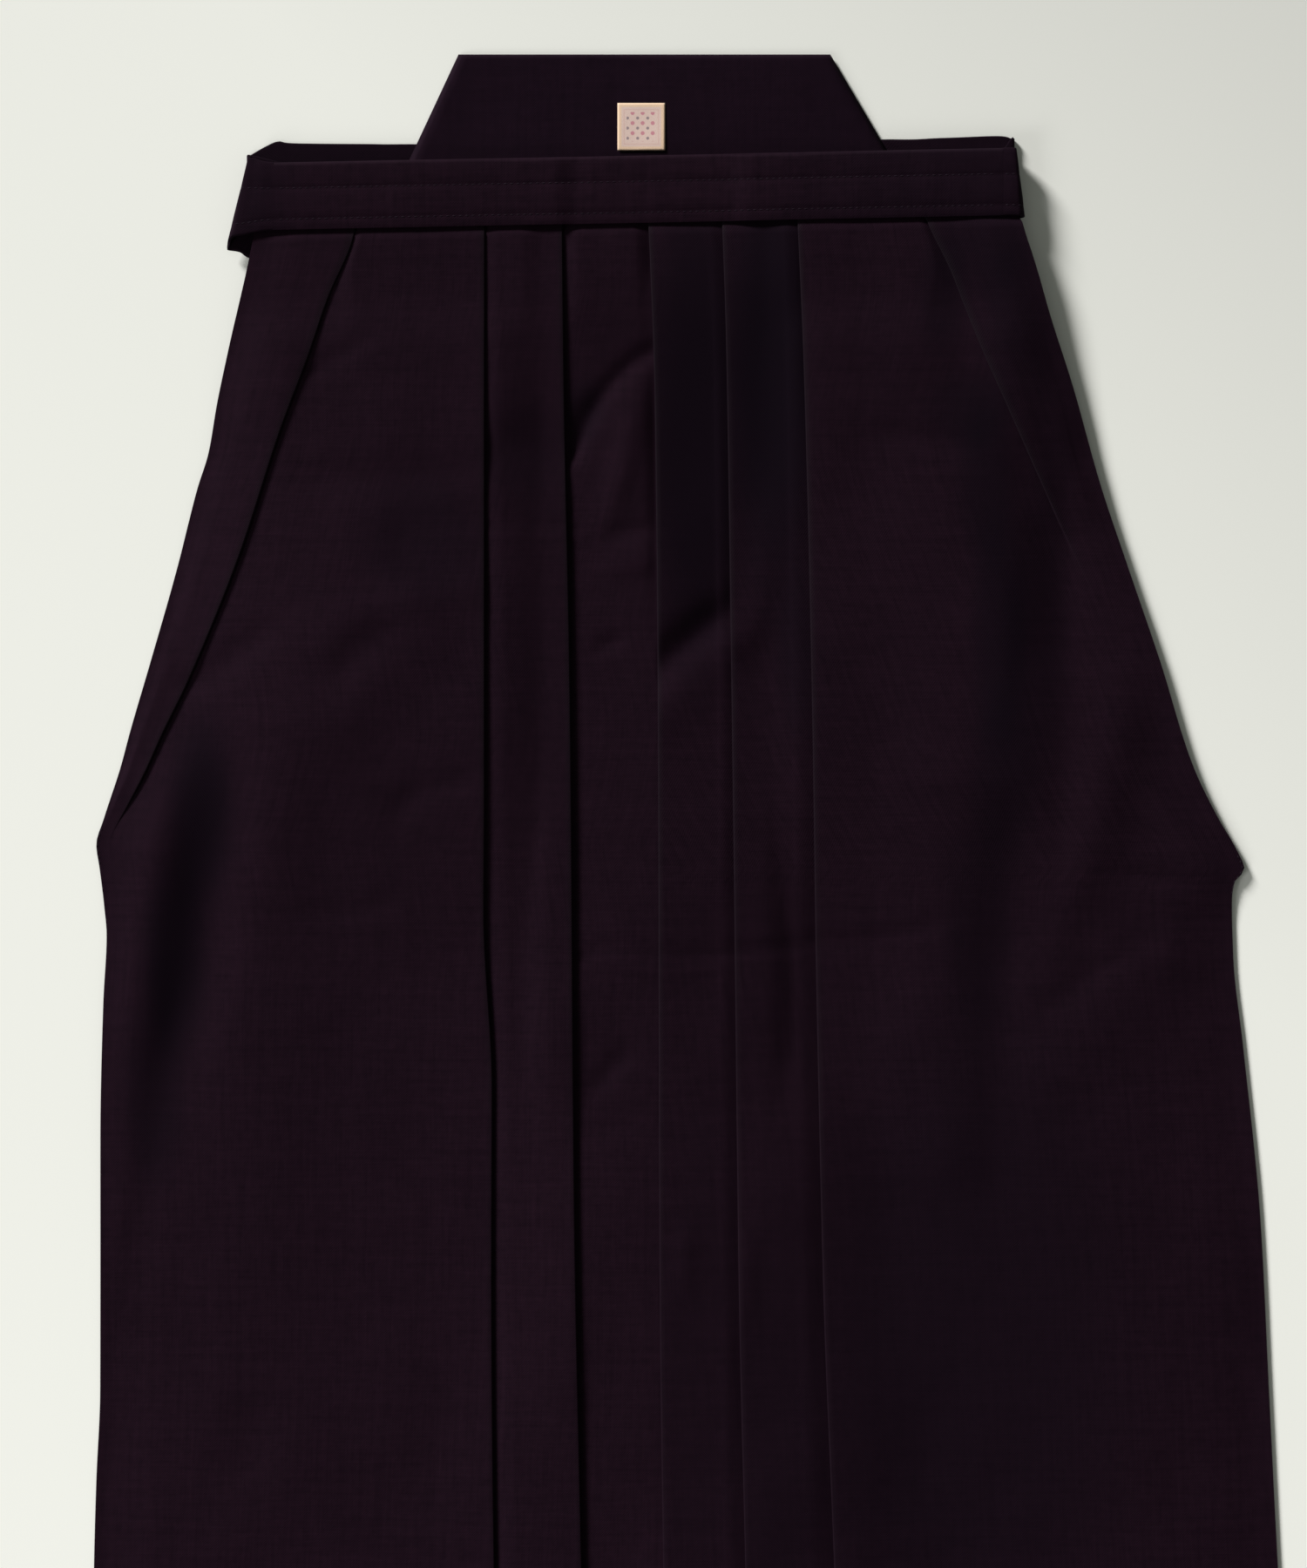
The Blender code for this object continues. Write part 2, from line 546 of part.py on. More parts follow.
def back_tie_rows(foot, out, fold_a, middle_v, width, path):
    """From the board's slanting side out along the waist, folded over inwards and down to its bundle."""
    foot_a, foot_tilt, foot_width = foot
    rows = [(foot_a, middle_v, BACK_TIE_FOOT, foot_tilt, foot_width, TIE, 180.0)]
    rows += [(a, middle_v, BACK_TIE_FOOT, tilt, width, TIE, 180.0) for a, tilt in out]
    radius = (BACK_TIE_Z - BACK_TIE_FOOT) / 2
    rows += arc(fold_a - TIE / 2 - radius, BACK_TIE_FOOT + radius, radius,
                [(middle_v, 0.0, width, roll) for roll in (180.0, 135.0, 90.0, 45.0, 0.0)])
    rows += flat(path, BACK_TIE_Z, width, 0.0)
    return rows + bundle(BACK_BUNDLE_A, width, BACK_TIE_Z, 0.0)


# ---------------------------------------------------------------- the stiff board and its label

def plate(name, corners, profile, finish):
    """Stack a four-cornered outline at each height of the profile, drawn in by its inset."""
    middle = np.mean(corners, axis=0)
    rings = []
    for inset, z in profile:
        ring = np.array(corners) + np.sign(middle - corners) * inset
        rings.append(to_world(ring[:, 0], ring[:, 1], np.full(4, z)))
    return ring_loft(name, rings, finish)


def rounded_profile(floor, thickness, radius):
    """Insets and heights of a slab's edge with quarter rounds above and below."""
    part = radius * (1 - math.cos(math.pi / 4))
    top = floor + thickness
    return ((radius, floor), (part, floor + part), (0.0, floor + radius),
            (0.0, top - radius), (part, top - part), (radius, top))


def koshi_ita(finish):
    """The stiff board at the back of the waist, lying with its inner face up."""
    corners = np.array([(BOARD_TOP_RIGHT, 0.0), (BOARD_TOP_LEFT, 0.0),
                        (BOARD_FOOT_LEFT, BOARD_HEIGHT), (BOARD_FOOT_RIGHT, BOARD_HEIGHT)])
    return plate("koshi_ita", corners, rounded_profile(0.0, BOARD, BOARD_ROUND), finish)


def maker_label(finish):
    """A bare woven square on the inner face of the board."""
    u, v = LABEL_CENTRE
    half = LABEL_SIZE / 2
    corners = np.array([(u - half, v - half), (u + half, v - half),
                        (u + half, v + half), (u - half, v + half)])
    floor = BOARD + GAP
    return plate("label", corners, ((0.0, floor), (0.0, floor + LABEL_CLOTH)), finish)


# ---------------------------------------------------------------- the garment

def main():
    for old in list(bpy.data.objects):
        bpy.data.objects.remove(old, do_unlink=True)
    cloth = material("dark_cloth", CLOTH_COLOUR, 0.85)
    band_cloth = material("band_cloth", CLOTH_COLOUR, 0.82)
    board_cloth = material("board_cloth", CLOTH_COLOUR, 0.8)
    label_cloth = material("label_cloth", LABEL_COLOUR, 0.7)

    cloth_panel("back_right_panel", BACK_ROWS, lambda v: back_section(v, RIGHT_EDGE, 1), no_lift, 0.0, cloth)
    cloth_panel("back_left_panel", BACK_ROWS, lambda v: back_section(v, LEFT_EDGE, -1), no_lift, 0.0, cloth)
    cloth_panel("front_right_panel", RIGHT_ROWS,
                lambda v: front_section(v, RIGHT_EDGE, SIDE_PLEAT_RIGHT, (FOLD_1, FOLD_2), 1, "seam"),
                bed, BAND_TILT, cloth)
    cloth_panel("front_left_panel", LEFT_ROWS,
                lambda v: front_section(v, LEFT_EDGE, SIDE_PLEAT_LEFT, (FOLD_5, FOLD_4, FOLD_3), -1,
                                        "return"),
                bed, BAND_TILT, cloth)
    cloth_panel("gusset_right", GUSSET_ROWS, lambda v: gusset_section(v, -1), no_lift, 0.0, cloth)
    cloth_panel("gusset_left", GUSSET_ROWS, lambda v: gusset_section(v, 1), no_lift, 0.0, cloth)

    front_band(band_cloth)
    tie("front_tie_right", front_tie_right_rows(), -1, band_cloth)
    tie("front_tie_left", front_tie_left_rows(), 1, band_cloth)
    tie("back_tie_right", back_tie_rows((128.7, 23.4, 36.0), ((140.0, 12.0), (150.0, 0.0), (190.0, 0.0)),
                                        200.0, 63.2, BACK_TIE_WIDTH, [(191.0, 63.2, 0.0)] + BACK_BEND_RIGHT),
        -1, band_cloth)
    tie("back_tie_left", back_tie_rows((126.5, 29.3, 41.2), ((138.0, 15.0), (150.0, 0.0), (178.0, 0.0)),
                                       187.0, 61.7, BACK_TIE_WIDTH_LEFT, BACK_BEND_LEFT),
        1, band_cloth)
    koshi_ita(board_cloth)
    maker_label(label_cloth)


main()
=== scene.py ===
"""Hakama trousers of dark aubergine cloth, laid flat with the front up.

Plan positions are in millimetres: u runs to the viewer's right from the centre pleat, v runs down
from the top of the back board and z rises from the surface the cloth lies on. The wearer's right
is the viewer's left. Every piece is turned into metres when its mesh is made.
"""
import math

import bpy
import numpy as np
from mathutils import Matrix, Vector


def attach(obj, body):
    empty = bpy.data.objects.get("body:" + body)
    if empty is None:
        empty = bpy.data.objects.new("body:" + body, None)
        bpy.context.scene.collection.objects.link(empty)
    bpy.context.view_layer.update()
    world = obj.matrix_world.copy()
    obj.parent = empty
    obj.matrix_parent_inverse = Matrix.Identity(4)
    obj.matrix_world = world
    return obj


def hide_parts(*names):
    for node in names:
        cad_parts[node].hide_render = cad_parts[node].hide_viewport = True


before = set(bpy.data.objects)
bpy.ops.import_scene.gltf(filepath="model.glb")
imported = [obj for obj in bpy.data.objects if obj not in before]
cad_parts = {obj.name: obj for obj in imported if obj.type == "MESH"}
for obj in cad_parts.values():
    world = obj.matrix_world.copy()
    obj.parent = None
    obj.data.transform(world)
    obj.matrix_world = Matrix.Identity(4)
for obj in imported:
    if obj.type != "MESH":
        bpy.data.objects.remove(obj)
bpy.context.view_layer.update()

# ---------------------------------------------------------------- sizes, in millimetres

LENGTH = 1031.0              # top of the back board to the front hem
BACK_HEM = 1028.0
CENTRE_U = 23.5              # middle of the hem, where the origin stands
CLOTH = 0.6                  # thickness of the dressed cloth
PRESSED = 0.12               # pressed thinner by this where it is folded at the waist
LOW = 0.35                   # middle of the lowest layer over what it lies on
LAYER_TOP, LAYER_LOW = 0.66, 0.95    # one layer of a pleat to the next: under the band, lower down
BACK_LAYER = 0.7             # the same in the back pleats
BACK_STACK = 2.9             # height of a back pleat's three layers
GUSSET_LAYER = 0.9
SEAM_RISE = 1.1              # the front panels plump up by this just below the band
TUCKED = 0.3                 # and are pressed down by this inside it
WAIST_STACK = 3.0            # height kept inside the band for the front's layers
WAIST_BED, WAIST_BED_OUTSIDE = 5.9, 1.4    # height under the fronts at the waist, and more outside
GAP = 0.3                    # between pieces that lie on each other
UP = (0.0, 0.0, 1.0)

FRONT_TOP, BACK_TOP = 58.0, 80.3       # first rows of the panels, inside the band and at the board's foot
GUSSET_HEM = 1026.0
HEM_ROW = 1018.0             # the hem's row of stitches
PLEAT_DEPTH = 29.0           # how far a front pleat turns under
SEAM_UNDER = 24.0            # the centre seam lies this far under the middle pleat
BACK_CENTRE = 2.0            # line where the two back pleats meet
BACK_DEPTH = 45.0            # how far a back pleat turns under

BAND_WIDTH = 34.8
BAND_TOP = 52.3
BAND_TILT = -0.020           # the waist climbs by this share of its length to the viewer's right
TILT_FADES = (100.0, 400.0)  # and the panels' rows come level between these heights
BAND_CLOTH = 0.9
BAND_RIGHT, BAND_LEFT = -196.0, 180.0
BAND_GROOVE, BAND_SEAM = 13.5, 29.5            # its two stitched rows, below the top edge

TIE = 1.6
BOARD = 3.5
BOARD_HEIGHT = 80.0
BOARD_TOP_RIGHT, BOARD_TOP_LEFT = -100.8, 91.4
BOARD_FOOT_RIGHT, BOARD_FOOT_LEFT = -138.4, 139.0

LABEL_SIZE = 24.6
LABEL_CENTRE = (-6.3, 37.2)

CROTCH = 600.0               # where the legs part
GUSSET_TOP_REACH, GUSSET_HEM_REACH, GUSSET_OFFSET = 8.0, 70.0, 30.0

FRONT_TIE_WIDTH, BACK_TIE_WIDTH, BACK_TIE_WIDTH_LEFT = 34.5, 33.0, 36.0
FRONT_TIE_Z, BACK_TIE_Z, BACK_TIE_FOOT = 4.6, 2.7, 0.83
FRONT_BUNDLE_A, BACK_BUNDLE_A = 118.0, 158.0     # the tie bundles' distances from the centre line
BUNDLE_START, BUNDLE_END, BUNDLE_THICK, BUNDLE_FLOOR = 186.0, 340.0, 5.6, 1.4
TIE_EDGES = 1.15             # a tie's cut is wider than the tie by this, for its turned edges

# Rectangles the sheets are cut from, in metres.
PANEL_CUT_LENGTH = 0.975
GUSSET_CUT = (0.2, 0.43)
BAND_CUT = (0.376, 0.09)

# Stitches: length, from one to the next, thread's radius.
HEM_STITCH = (3.0, 7.0, 0.22)
TACK_STITCH = (2.2, 2.9, 0.3)
BAND_STITCH = (2.5, 3.3, 0.28)

# ---------------------------------------------------------------- lines: v, then u at that height

RIGHT_EDGE = np.array([
    (52, -200.0), (88, -205.0), (107, -208.8), (152, -219.3), (180, -225.3), (206, -229.9), (224, -235.6),
    (242, -240.3), (260, -244.8), (314, -260.1), (350, -270.6), (368, -275.4), (395, -284.2), (408, -288.0),
    (420, -286.3), (440, -283.8), (455, -282.5), (490, -284.2), (560, -285.8), (690, -286.0), (737, -288.0),
    (781, -289.2), (1031, -291.8)])
LEFT_EDGE = np.array([
    (52, 183.0), (80, 184.8), (85, 189.2), (90, 190.9), (95, 192.4), (103, 195.1), (114, 198.5),
    (134, 204.3), (170, 216.0), (224, 231.4), (260, 243.5),
    (314, 261.9), (368, 279.0), (395, 292.1), (411, 301.4), (421, 305.4), (427, 300.2), (437, 298.9),
    (467, 299.7), (512, 304.7), (602, 313.7), (692, 318.2), (781, 322.7), (1031, 338.4)])
SIDE_PLEAT_RIGHT = np.array([
    (52, -148.5), (94, -154.4), (126, -167.6), (155, -177.4), (193, -191.7), (261, -214.2), (325, -240.8),
    (350, -253.0), (372, -263.0), (388, -271.5), (400, -278.0), (408, -281.0), (450, -270.0), (1031, -276.0)])
SIDE_PLEAT_LEFT = np.array([
    (52, 130.0), (86, 140.8), (112, 153.2), (130, 160.2), (151, 168.6), (180, 181.5), (216, 197.7),
    (283, 229.0), (350, 262.0),
    (380, 276.5), (398, 285.0), (412, 293.0), (424, 297.0), (450, 287.0), (1031, 323.0)])
FOLD_1 = np.array([(52, -86.9), (377, -86.9), (444, -87.3), (534, -83.0), (624, -83.3), (1031, -77.5)])
FOLD_2 = np.array([(52, -47.3), (174, -45.9), (332, -42.8), (602, -40.5), (781, -36.9), (1031, -33.0)])
FOLD_3 = np.array([(52, -4.5), (120, -1.3), (174, 0.5), (355, 2.3), (624, 3.1), (781, 5.0), (1031, 9.0)])
FOLD_4 = np.array([(52, 34.0), (152, 37.4), (287, 39.6), (420, 41.4), (646, 44.1), (781, 47.3), (1031, 52.0)])
FOLD_5 = np.array([
    (52, 72.5), (165, 77.4), (322, 81.4), (489, 84.2), (646, 87.8), (781, 93.2), (1031, 102.0)])
RIGHT_OPENING_END, LEFT_OPENING_END = 408.0, 424.0      # the side openings close here

# How far the crests of the pleats stand up from their layers: v, then folds 1 and 2, 3 and 4, and 5.
PUFF = np.array([(52, 0.3, 0.5, 0.5), (88, 0.3, 0.6, 0.5), (120, 0.5, 2.8, 0.9), (160, 0.6, 3.6, 1.2),
                 (290, 0.8, 3.4, 1.2), (420, 0.9, 1.6, 1.0), (1031, 0.7, 0.8, 0.8)])
# Where the slanting pleats open out: start and end, and the same for their overlap.
RIGHT_OPENS = (362.0, 408.0, 288.0, 368.0)
LEFT_OPENS = (190.0, 290.0, 110.0, 215.0)

# How high the left front's outer edge stands off what it lies on: v, height.
EDGE_LIFT = np.array([
    (76, 1.3), (84, 1.4), (88, 2.0), (110, 2.2), (143, 2.5), (183, 3.4), (215, 3.3), (242, 2.5),
    (332, 2.0), (400, 1.9), (424, 1.3), (446, 0.0), (1031, 0.0)])

# ---------------------------------------------------------------- soft folds

# Broad swells of the front between two ends.
SWELLS = (
    # u0, v0, u1, v1, half width, height
    (-205.0, 380.0, -200.0, 620.0, 30.0, 1.0),
    (-125.0, 300.0, -165.0, 345.0, 20.0, 1.2),
    (215.0, 330.0, 190.0, 480.0, 20.0, 1.0),
    (150.0, 380.0, 145.0, 560.0, 28.0, 1.6),
    (262.0, 470.0, 215.0, 520.0, 20.0, 1.0),
)

# Creases on a bent line through three points. The strip says which pleat's cloth a crease is in,
# counted from each side edge inwards with R to the viewer's left, or names the hidden back it is
# in. A 1 keeps an end at its full depth.
CREASES = (
    # strip, u0, v0, u1, v1, u2, v2, half width, height, full start, full end
    ("R0", -176.0, 165.0, -158.0, 153.0, -138.0, 142.0, 6.0, -0.6, 1, 0),
    ("R0", -196.0, 222.0, -150.0, 219.0, -100.0, 217.0, 13.0, -0.9, 0, 1),
    ("R0", -140.0, 250.0, -120.0, 246.0, -100.0, 240.0, 18.0, -0.8, 0, 1),
    ("R0", -237.0, 325.0, -214.0, 309.0, -190.0, 289.0, 10.0, -1.1, 1, 0),
    ("R0", -168.0, 342.0, -151.0, 307.0, -117.0, 299.0, 12.0, -0.8, 0, 0),
    ("R0", -170.0, 322.0, -156.0, 292.0, -100.0, 279.0, 15.0, 1.0, 0, 1),
    ("R0", -131.0, 404.0, -126.0, 384.0, -100.0, 376.0, 9.0, -0.8, 0, 1),
    ("R0", -193.0, 444.0, -150.0, 441.0, -128.0, 432.0, 6.0, -0.5, 0, 0),
    ("R0", -238.0, 348.0, -262.0, 440.0, -276.0, 590.0, 20.0, 4.3, 0, 0),
    ("R0", -206.0, 345.0, -229.0, 440.0, -243.0, 560.0, 19.0, -2.5, 0, 0),
    ("R0", -249.0, 480.0, -258.0, 560.0, -268.0, 660.0, 12.0, -1.0, 0, 0),
    ("R0", -216.0, 690.0, -210.0, 716.0, -214.0, 742.0, 16.0, -1.1, 0, 0),
    ("R1", -86.0, 242.6, -66.0, 242.4, -46.0, 243.0, 2.6, -0.4, 1, 1),
    ("R1", -80.0, 205.0, -66.0, 200.0, -50.0, 205.0, 18.0, -0.9, 1, 1),
    ("R2", -41.5, 205.0, -22.0, 170.5, 0.0, 153.0, 6.0, -1.6, 1, 1),
    ("R2", -46.0, 204.0, -38.0, 190.0, -27.0, 174.0, 9.0, -1.2, 1, 0),
    ("R2", -9.0, 166.0, -14.0, 205.0, -26.0, 250.0, 9.0, 1.5, 0, 0),
    ("R2", 0.5, 88.0, 0.6, 104.0, 2.0, 121.0, 4.2, -1.5, 1, 0),
    ("R2", 1.2, 158.0, 2.0, 210.0, 2.4, 300.0, 5.0, -1.8, 0, 0),
    ("R2", -29.0, 251.0, -16.0, 247.0, -5.0, 245.0, 5.5, -0.8, 0, 1),
    ("R2", -33.0, 311.0, -22.0, 304.0, -12.0, 301.0, 5.5, -0.8, 0, 0),
    ("R2", -30.0, 270.0, -10.0, 262.0, 0.0, 268.0, 10.0, 0.8, 0, 0),
    ("R2", -36.0, 465.0, -20.0, 461.0, 0.0, 466.0, 5.0, -0.5, 1, 1),
    ("R2", -33.0, 540.0, -22.0, 524.0, -9.0, 513.0, 7.0, -1.0, 0, 0),
    ("R2", -32.0, 556.0, -18.0, 553.0, -4.0, 556.0, 5.0, -0.5, 0, 0),
    ("L2", -2.0, 322.0, 20.0, 301.0, 48.0, 281.0, 12.0, -2.9, 1, 0),
    ("L2", 2.0, 344.0, 22.0, 328.0, 42.0, 308.0, 16.0, 0.5, 1, 1),
    ("L2", 4.0, 465.0, 22.0, 465.0, 44.0, 463.0, 5.0, -0.6, 1, 1),
    ("L2", 18.0, 600.0, 16.0, 622.0, 18.0, 645.0, 8.0, 0.8, 0, 0),
    ("L1", 41.0, 304.0, 56.0, 280.0, 60.0, 215.0, 12.0, 1.2, 1, 0),
    ("L1", 79.5, 88.0, 81.0, 140.0, 83.0, 215.0, 4.2, -1.6, 1, 0),
    ("L1", 44.0, 463.0, 64.0, 461.0, 85.0, 458.0, 5.0, -0.6, 1, 1),
    ("L1", 50.0, 600.0, 47.0, 632.0, 50.0, 660.0, 9.0, 0.8, 0, 0),
    ("L0", 101.0, 199.0, 138.0, 199.0, 163.0, 211.0, 10.0, -0.8, 0, 0),
    ("L0", 176.0, 195.0, 191.0, 290.0, 190.0, 400.0, 26.0, -0.4, 0, 0),
    ("L0", 191.0, 380.0, 183.0, 440.0, 174.0, 600.0, 18.0, -1.4, 0, 0),
    ("L0", 246.0, 300.0, 232.0, 385.0, 204.0, 475.0, 19.0, 2.4, 0, 0),
    ("L0", 86.0, 458.0, 122.0, 455.0, 160.0, 444.0, 5.0, -0.6, 1, 0),
    ("L0", 230.0, 423.0, 262.0, 425.0, 285.0, 430.0, 6.0, -0.8, 0, 0),
    ("L0", 194.0, 498.0, 228.0, 475.0, 262.0, 453.0, 8.0, -0.6, 0, 0),
    ("back right", -122.0, 185.0, -134.0, 240.0, -126.0, 305.0, 20.0, 0.24, 0, 0),
    ("back right", -238.0, 352.0, -184.0, 338.0, -104.0, 347.0, 22.0, 0.30, 0, 0),
    ("back right", -246.0, 566.0, -196.0, 541.0, -132.0, 549.0, 25.0, 0.22, 0, 0),
    ("back right", -150.0, 690.0, -160.0, 795.0, -149.0, 905.0, 27.0, 0.28, 0, 0),
    ("back left", 128.0, 196.0, 141.0, 246.0, 133.0, 290.0, 20.0, 0.20, 0, 0),
    ("back left", 104.0, 331.0, 172.0, 349.0, 236.0, 340.0, 23.0, 0.30, 0, 0),
    ("back left", 152.0, 612.0, 208.0, 590.0, 266.0, 603.0, 25.0, 0.24, 0, 0),
    ("back left", 184.0, 742.0, 190.0, 820.0, 178.0, 938.0, 28.0, 0.26, 0, 0),
)

# Patches of the front painted darker: painted shade where its slopes and folds are turned from the light.
PAINTED_SHADE_PATCHES = (
    # strip, u, v, reach across, reach down, amount
    ("L2", 22.0, 190.0, 26.0, 120.0, 0.8), ("L1", 62.0, 165.0, 26.0, 105.0, 0.95),
    ("R1", -66.0, 205.0, 22.0, 26.0, 0.25), ("R0", -120.0, 250.0, 34.0, 32.0, 0.35),
    ("L0", 172.0, 222.0, 15.0, 42.0, 0.55), ("L0", 178.0, 300.0, 14.0, 58.0, 0.6),
    ("L0", 199.0, 290.0, 16.0, 70.0, 0.35), ("L0", 181.0, 375.0, 18.0, 46.0, 0.45),
    ("L0", 168.0, 452.0, 18.0, 55.0, 0.35),
    ("L0", 162.0, 184.0, 20.0, 19.0, 0.45), ("L0", 149.0, 125.0, 13.0, 32.0, 0.4),
    ("L0", 170.0, 95.0, 26.0, 30.0, 0.45), ("L0", 188.0, 135.0, 19.0, 42.0, 0.45),
    ("L0", 207.0, 190.0, 14.0, 46.0, 0.2),
    ("L0", 165.0, 670.0, 80.0, 170.0, 0.5), ("L1", 75.0, 310.0, 12.0, 40.0, 0.5),
    ("R2", -36.0, 185.0, 11.0, 17.0, 0.45), ("L1", 66.0, 700.0, 30.0, 130.0, 0.3),
    ("L2", 26.0, 690.0, 26.0, 130.0, 0.2), ("R0", -233.0, 390.0, 16.0, 48.0, 0.75),
    ("R0", -247.0, 465.0, 16.0, 48.0, 0.75), ("R0", -257.0, 540.0, 15.0, 48.0, 0.5),
)

# ---------------------------------------------------------------- small helpers


def smooth(value, start, end):
    """Rise from 0 at start to 1 at end with level ends: 3 s squared less 2 s cubed."""
    part = np.clip((value - start) / (end - start), 0.0, 1.0)
    return part * part * (3.0 - 2.0 * part)


def plateau(value, low, high, skirt):
    """1 between low and high, falling to 0 across a skirt on either side."""
    return smooth(value, low - skirt, low) * (1.0 - smooth(value, high, high + skirt))


def along(line, v):
    """Read a line's u at height v: a cubic between neighbours, whose slopes never overshoot."""
    x, y = line[:, 0], line[:, 1]
    h, d = np.diff(x), np.diff(y) / np.diff(x)
    inner = np.where(d[:-1] * d[1:] > 0,
                     3 * (h[:-1] + h[1:]) / ((2 * h[1:] + h[:-1]) / np.where(d[:-1] == 0, 1, d[:-1])
                                             + (h[1:] + 2 * h[:-1]) / np.where(d[1:] == 0, 1, d[1:])), 0.0)
    slope = np.concatenate([d[:1], inner, d[-1:]])
    i = np.clip(np.searchsorted(x, v, side="right") - 1, 0, len(h) - 1)
    t = np.clip((v - x[i]) / h[i], 0.0, 1.0)
    return ((1 + 2 * t) * (1 - t) ** 2 * y[i] + t * (1 - t) ** 2 * h[i] * slope[i]
            + t * t * (3 - 2 * t) * y[i + 1] + t * t * (t - 1) * h[i] * slope[i + 1])


def level_rows(v):
    """How much of the waist's tilt a row at height v still has."""
    return 1 - smooth(v, *TILT_FADES)


def bell(best, half_width):
    """Height across a crease: e to the minus 1.6 times the square of distance over half width."""
    return np.exp(-1.6 * (best / half_width) ** 2)


def run_across(points):
    """Length along each row of points, from 0 at its first: the running sum of its steps."""
    steps = np.linalg.norm(np.diff(points, axis=1), axis=-1)
    return np.concatenate([np.zeros((len(points), 1)), np.cumsum(steps, axis=1)], axis=1)


def distance_to_path(u, v, path):
    """Plan distance from each point to the nearest of a path's straight stretches."""
    nearest = np.full(np.broadcast(u, v).shape, 1e9)
    for (u0, v0), (u1, v1) in zip(path[:-1], path[1:]):
        du, dv = u1 - u0, v1 - v0
        share = np.clip(((u - u0) * du + (v - v0) * dv) / (du * du + dv * dv), 0.0, 1.0)
        nearest = np.minimum(nearest, np.hypot(u - u0 - share * du, v - v0 - share * dv))
    return nearest


def spline(stations, steps):
    """Rows between given stations on a Catmull-Rom curve through every column."""
    s = np.asarray(stations, float)
    before = np.vstack([2 * s[:1] - s[1:2], s[:-2]])
    after = np.vstack([s[2:], 2 * s[-1:] - s[-2:-1]])
    t = (np.arange(steps) / steps)[None, :, None]
    p0, p1, p2, p3 = (x[:, None, :] for x in (before, s[:-1], s[1:], after))
    rows = 0.5 * (2 * p1 + (p2 - p0) * t + (2 * p0 - 5 * p1 + 4 * p2 - p3) * t * t
                  + (3 * p1 - p0 - 3 * p2 + p3) * t ** 3)
    return np.vstack([rows.reshape(-1, s.shape[1]), s[-1:]])


def gusset_reach(v):
    """How far a gusset lies beside the centre seam at height v."""
    return np.interp(v, (CROTCH, LENGTH), (GUSSET_TOP_REACH, GUSSET_HEM_REACH))


# ---------------------------------------------------------------- what the front lies on


def bend(centre_a, centre_v, radius, start, end, steps):
    """Middle points of a tie that turns from heading inward to heading down, with its tilt."""
    turn = np.linspace(start, end, steps)
    angle = np.radians(turn)
    return list(zip(centre_a - radius * np.sin(angle), centre_v - radius * np.cos(angle), turn))


FRONT_BEND_RIGHT = bend(168.0, 166.7, 50.0, 36.0, 90.0, 4)
FRONT_BEND_LEFT = bend(150.0, 104.9, 32.0, 9.0, 90.0, 5)
BACK_BEND_RIGHT = bend(185.0, 100.2, 27.0, 0.0, 90.0, 4)
BACK_BEND_LEFT = bend(178.0, 87.9, 20.0, 0.0, 90.0, 4)
FRONT_RUN_RIGHT = [(-213.0, 74.0), (-205.0, 78.0)] + [(-a, v) for a, v, _ in FRONT_BEND_RIGHT]
FRONT_RUN_LEFT = [(188.0, 66.6)] + [(a, v) for a, v, _ in FRONT_BEND_LEFT] + [(118.0, 170.0)]
BACK_RUN = [(BACK_BUNDLE_A, 70.0), (BACK_BUNDLE_A, 175.0)]


def over_tie(u, v, path, width, level):
    """Height of cloth lying over one tie layer, falling away on both sides of it."""
    clear = width / 2 + 13.0
    return (level + TIE / 2 + GAP) * (1 - smooth(distance_to_path(u, v, path), clear, clear + 58.0))


def bed(u, v):
    """Height on which the front's lowest layer lies: a soft maximum of the things folded under it."""
    over_back = 1.0 + 0.0 * u
    over_back_pleats = (BACK_STACK + GAP) * plateau(u - BACK_CENTRE, -BACK_DEPTH - 9, BACK_DEPTH + 9, 24.0)
    reach = gusset_reach(v) + 16.0
    over_gussets = (BACK_STACK + 2 * GUSSET_LAYER + GAP) * plateau(u, -reach, GUSSET_OFFSET + reach, 95.0)
    over_gussets = over_gussets * smooth(v, CROTCH - 130, CROTCH)
    reach_out, fall_out = np.where(u < 0, 28.0, 18.0), np.where(u < 0, 80.0, 48.0)
    bundles = smooth(np.abs(u), FRONT_BUNDLE_A - 87.0, FRONT_BUNDLE_A - 29.0)
    bundles = bundles * (1 - smooth((np.abs(u) - BACK_BUNDLE_A - reach_out) / fall_out, 0.0, 1.0))
    bundles = bundles * smooth(v, 88.0, 150.0) * (1 - smooth(v, BUNDLE_END - 12, BUNDLE_END + 170))
    bundles = bundles * (BUNDLE_FLOOR + BUNDLE_THICK + GAP)
    runs = [over_tie(u, v, FRONT_RUN_RIGHT, FRONT_TIE_WIDTH, FRONT_TIE_Z),
            over_tie(u, v, FRONT_RUN_LEFT, FRONT_TIE_WIDTH, FRONT_TIE_Z),
            over_tie(np.abs(u), v, BACK_RUN, BACK_TIE_WIDTH_LEFT, BACK_TIE_Z)]
    waist = WAIST_BED + WAIST_BED_OUTSIDE * smooth(np.abs(u), 56.0, 70.0)
    layers = [over_back, over_back_pleats, over_gussets, bundles, waist * (1 - smooth(v, 96.0, 215.0))] + runs
    height = sum(layer ** 6 for layer in layers) ** (1 / 6)
    for u0, v0, u1, v1, half_width, rise in SWELLS:
        apart = distance_to_path(u, v, [(u0, v0), (u1, v1)])
        height = height + rise * (1 - smooth(apart, 0.0, 1.6 * half_width))
    return height


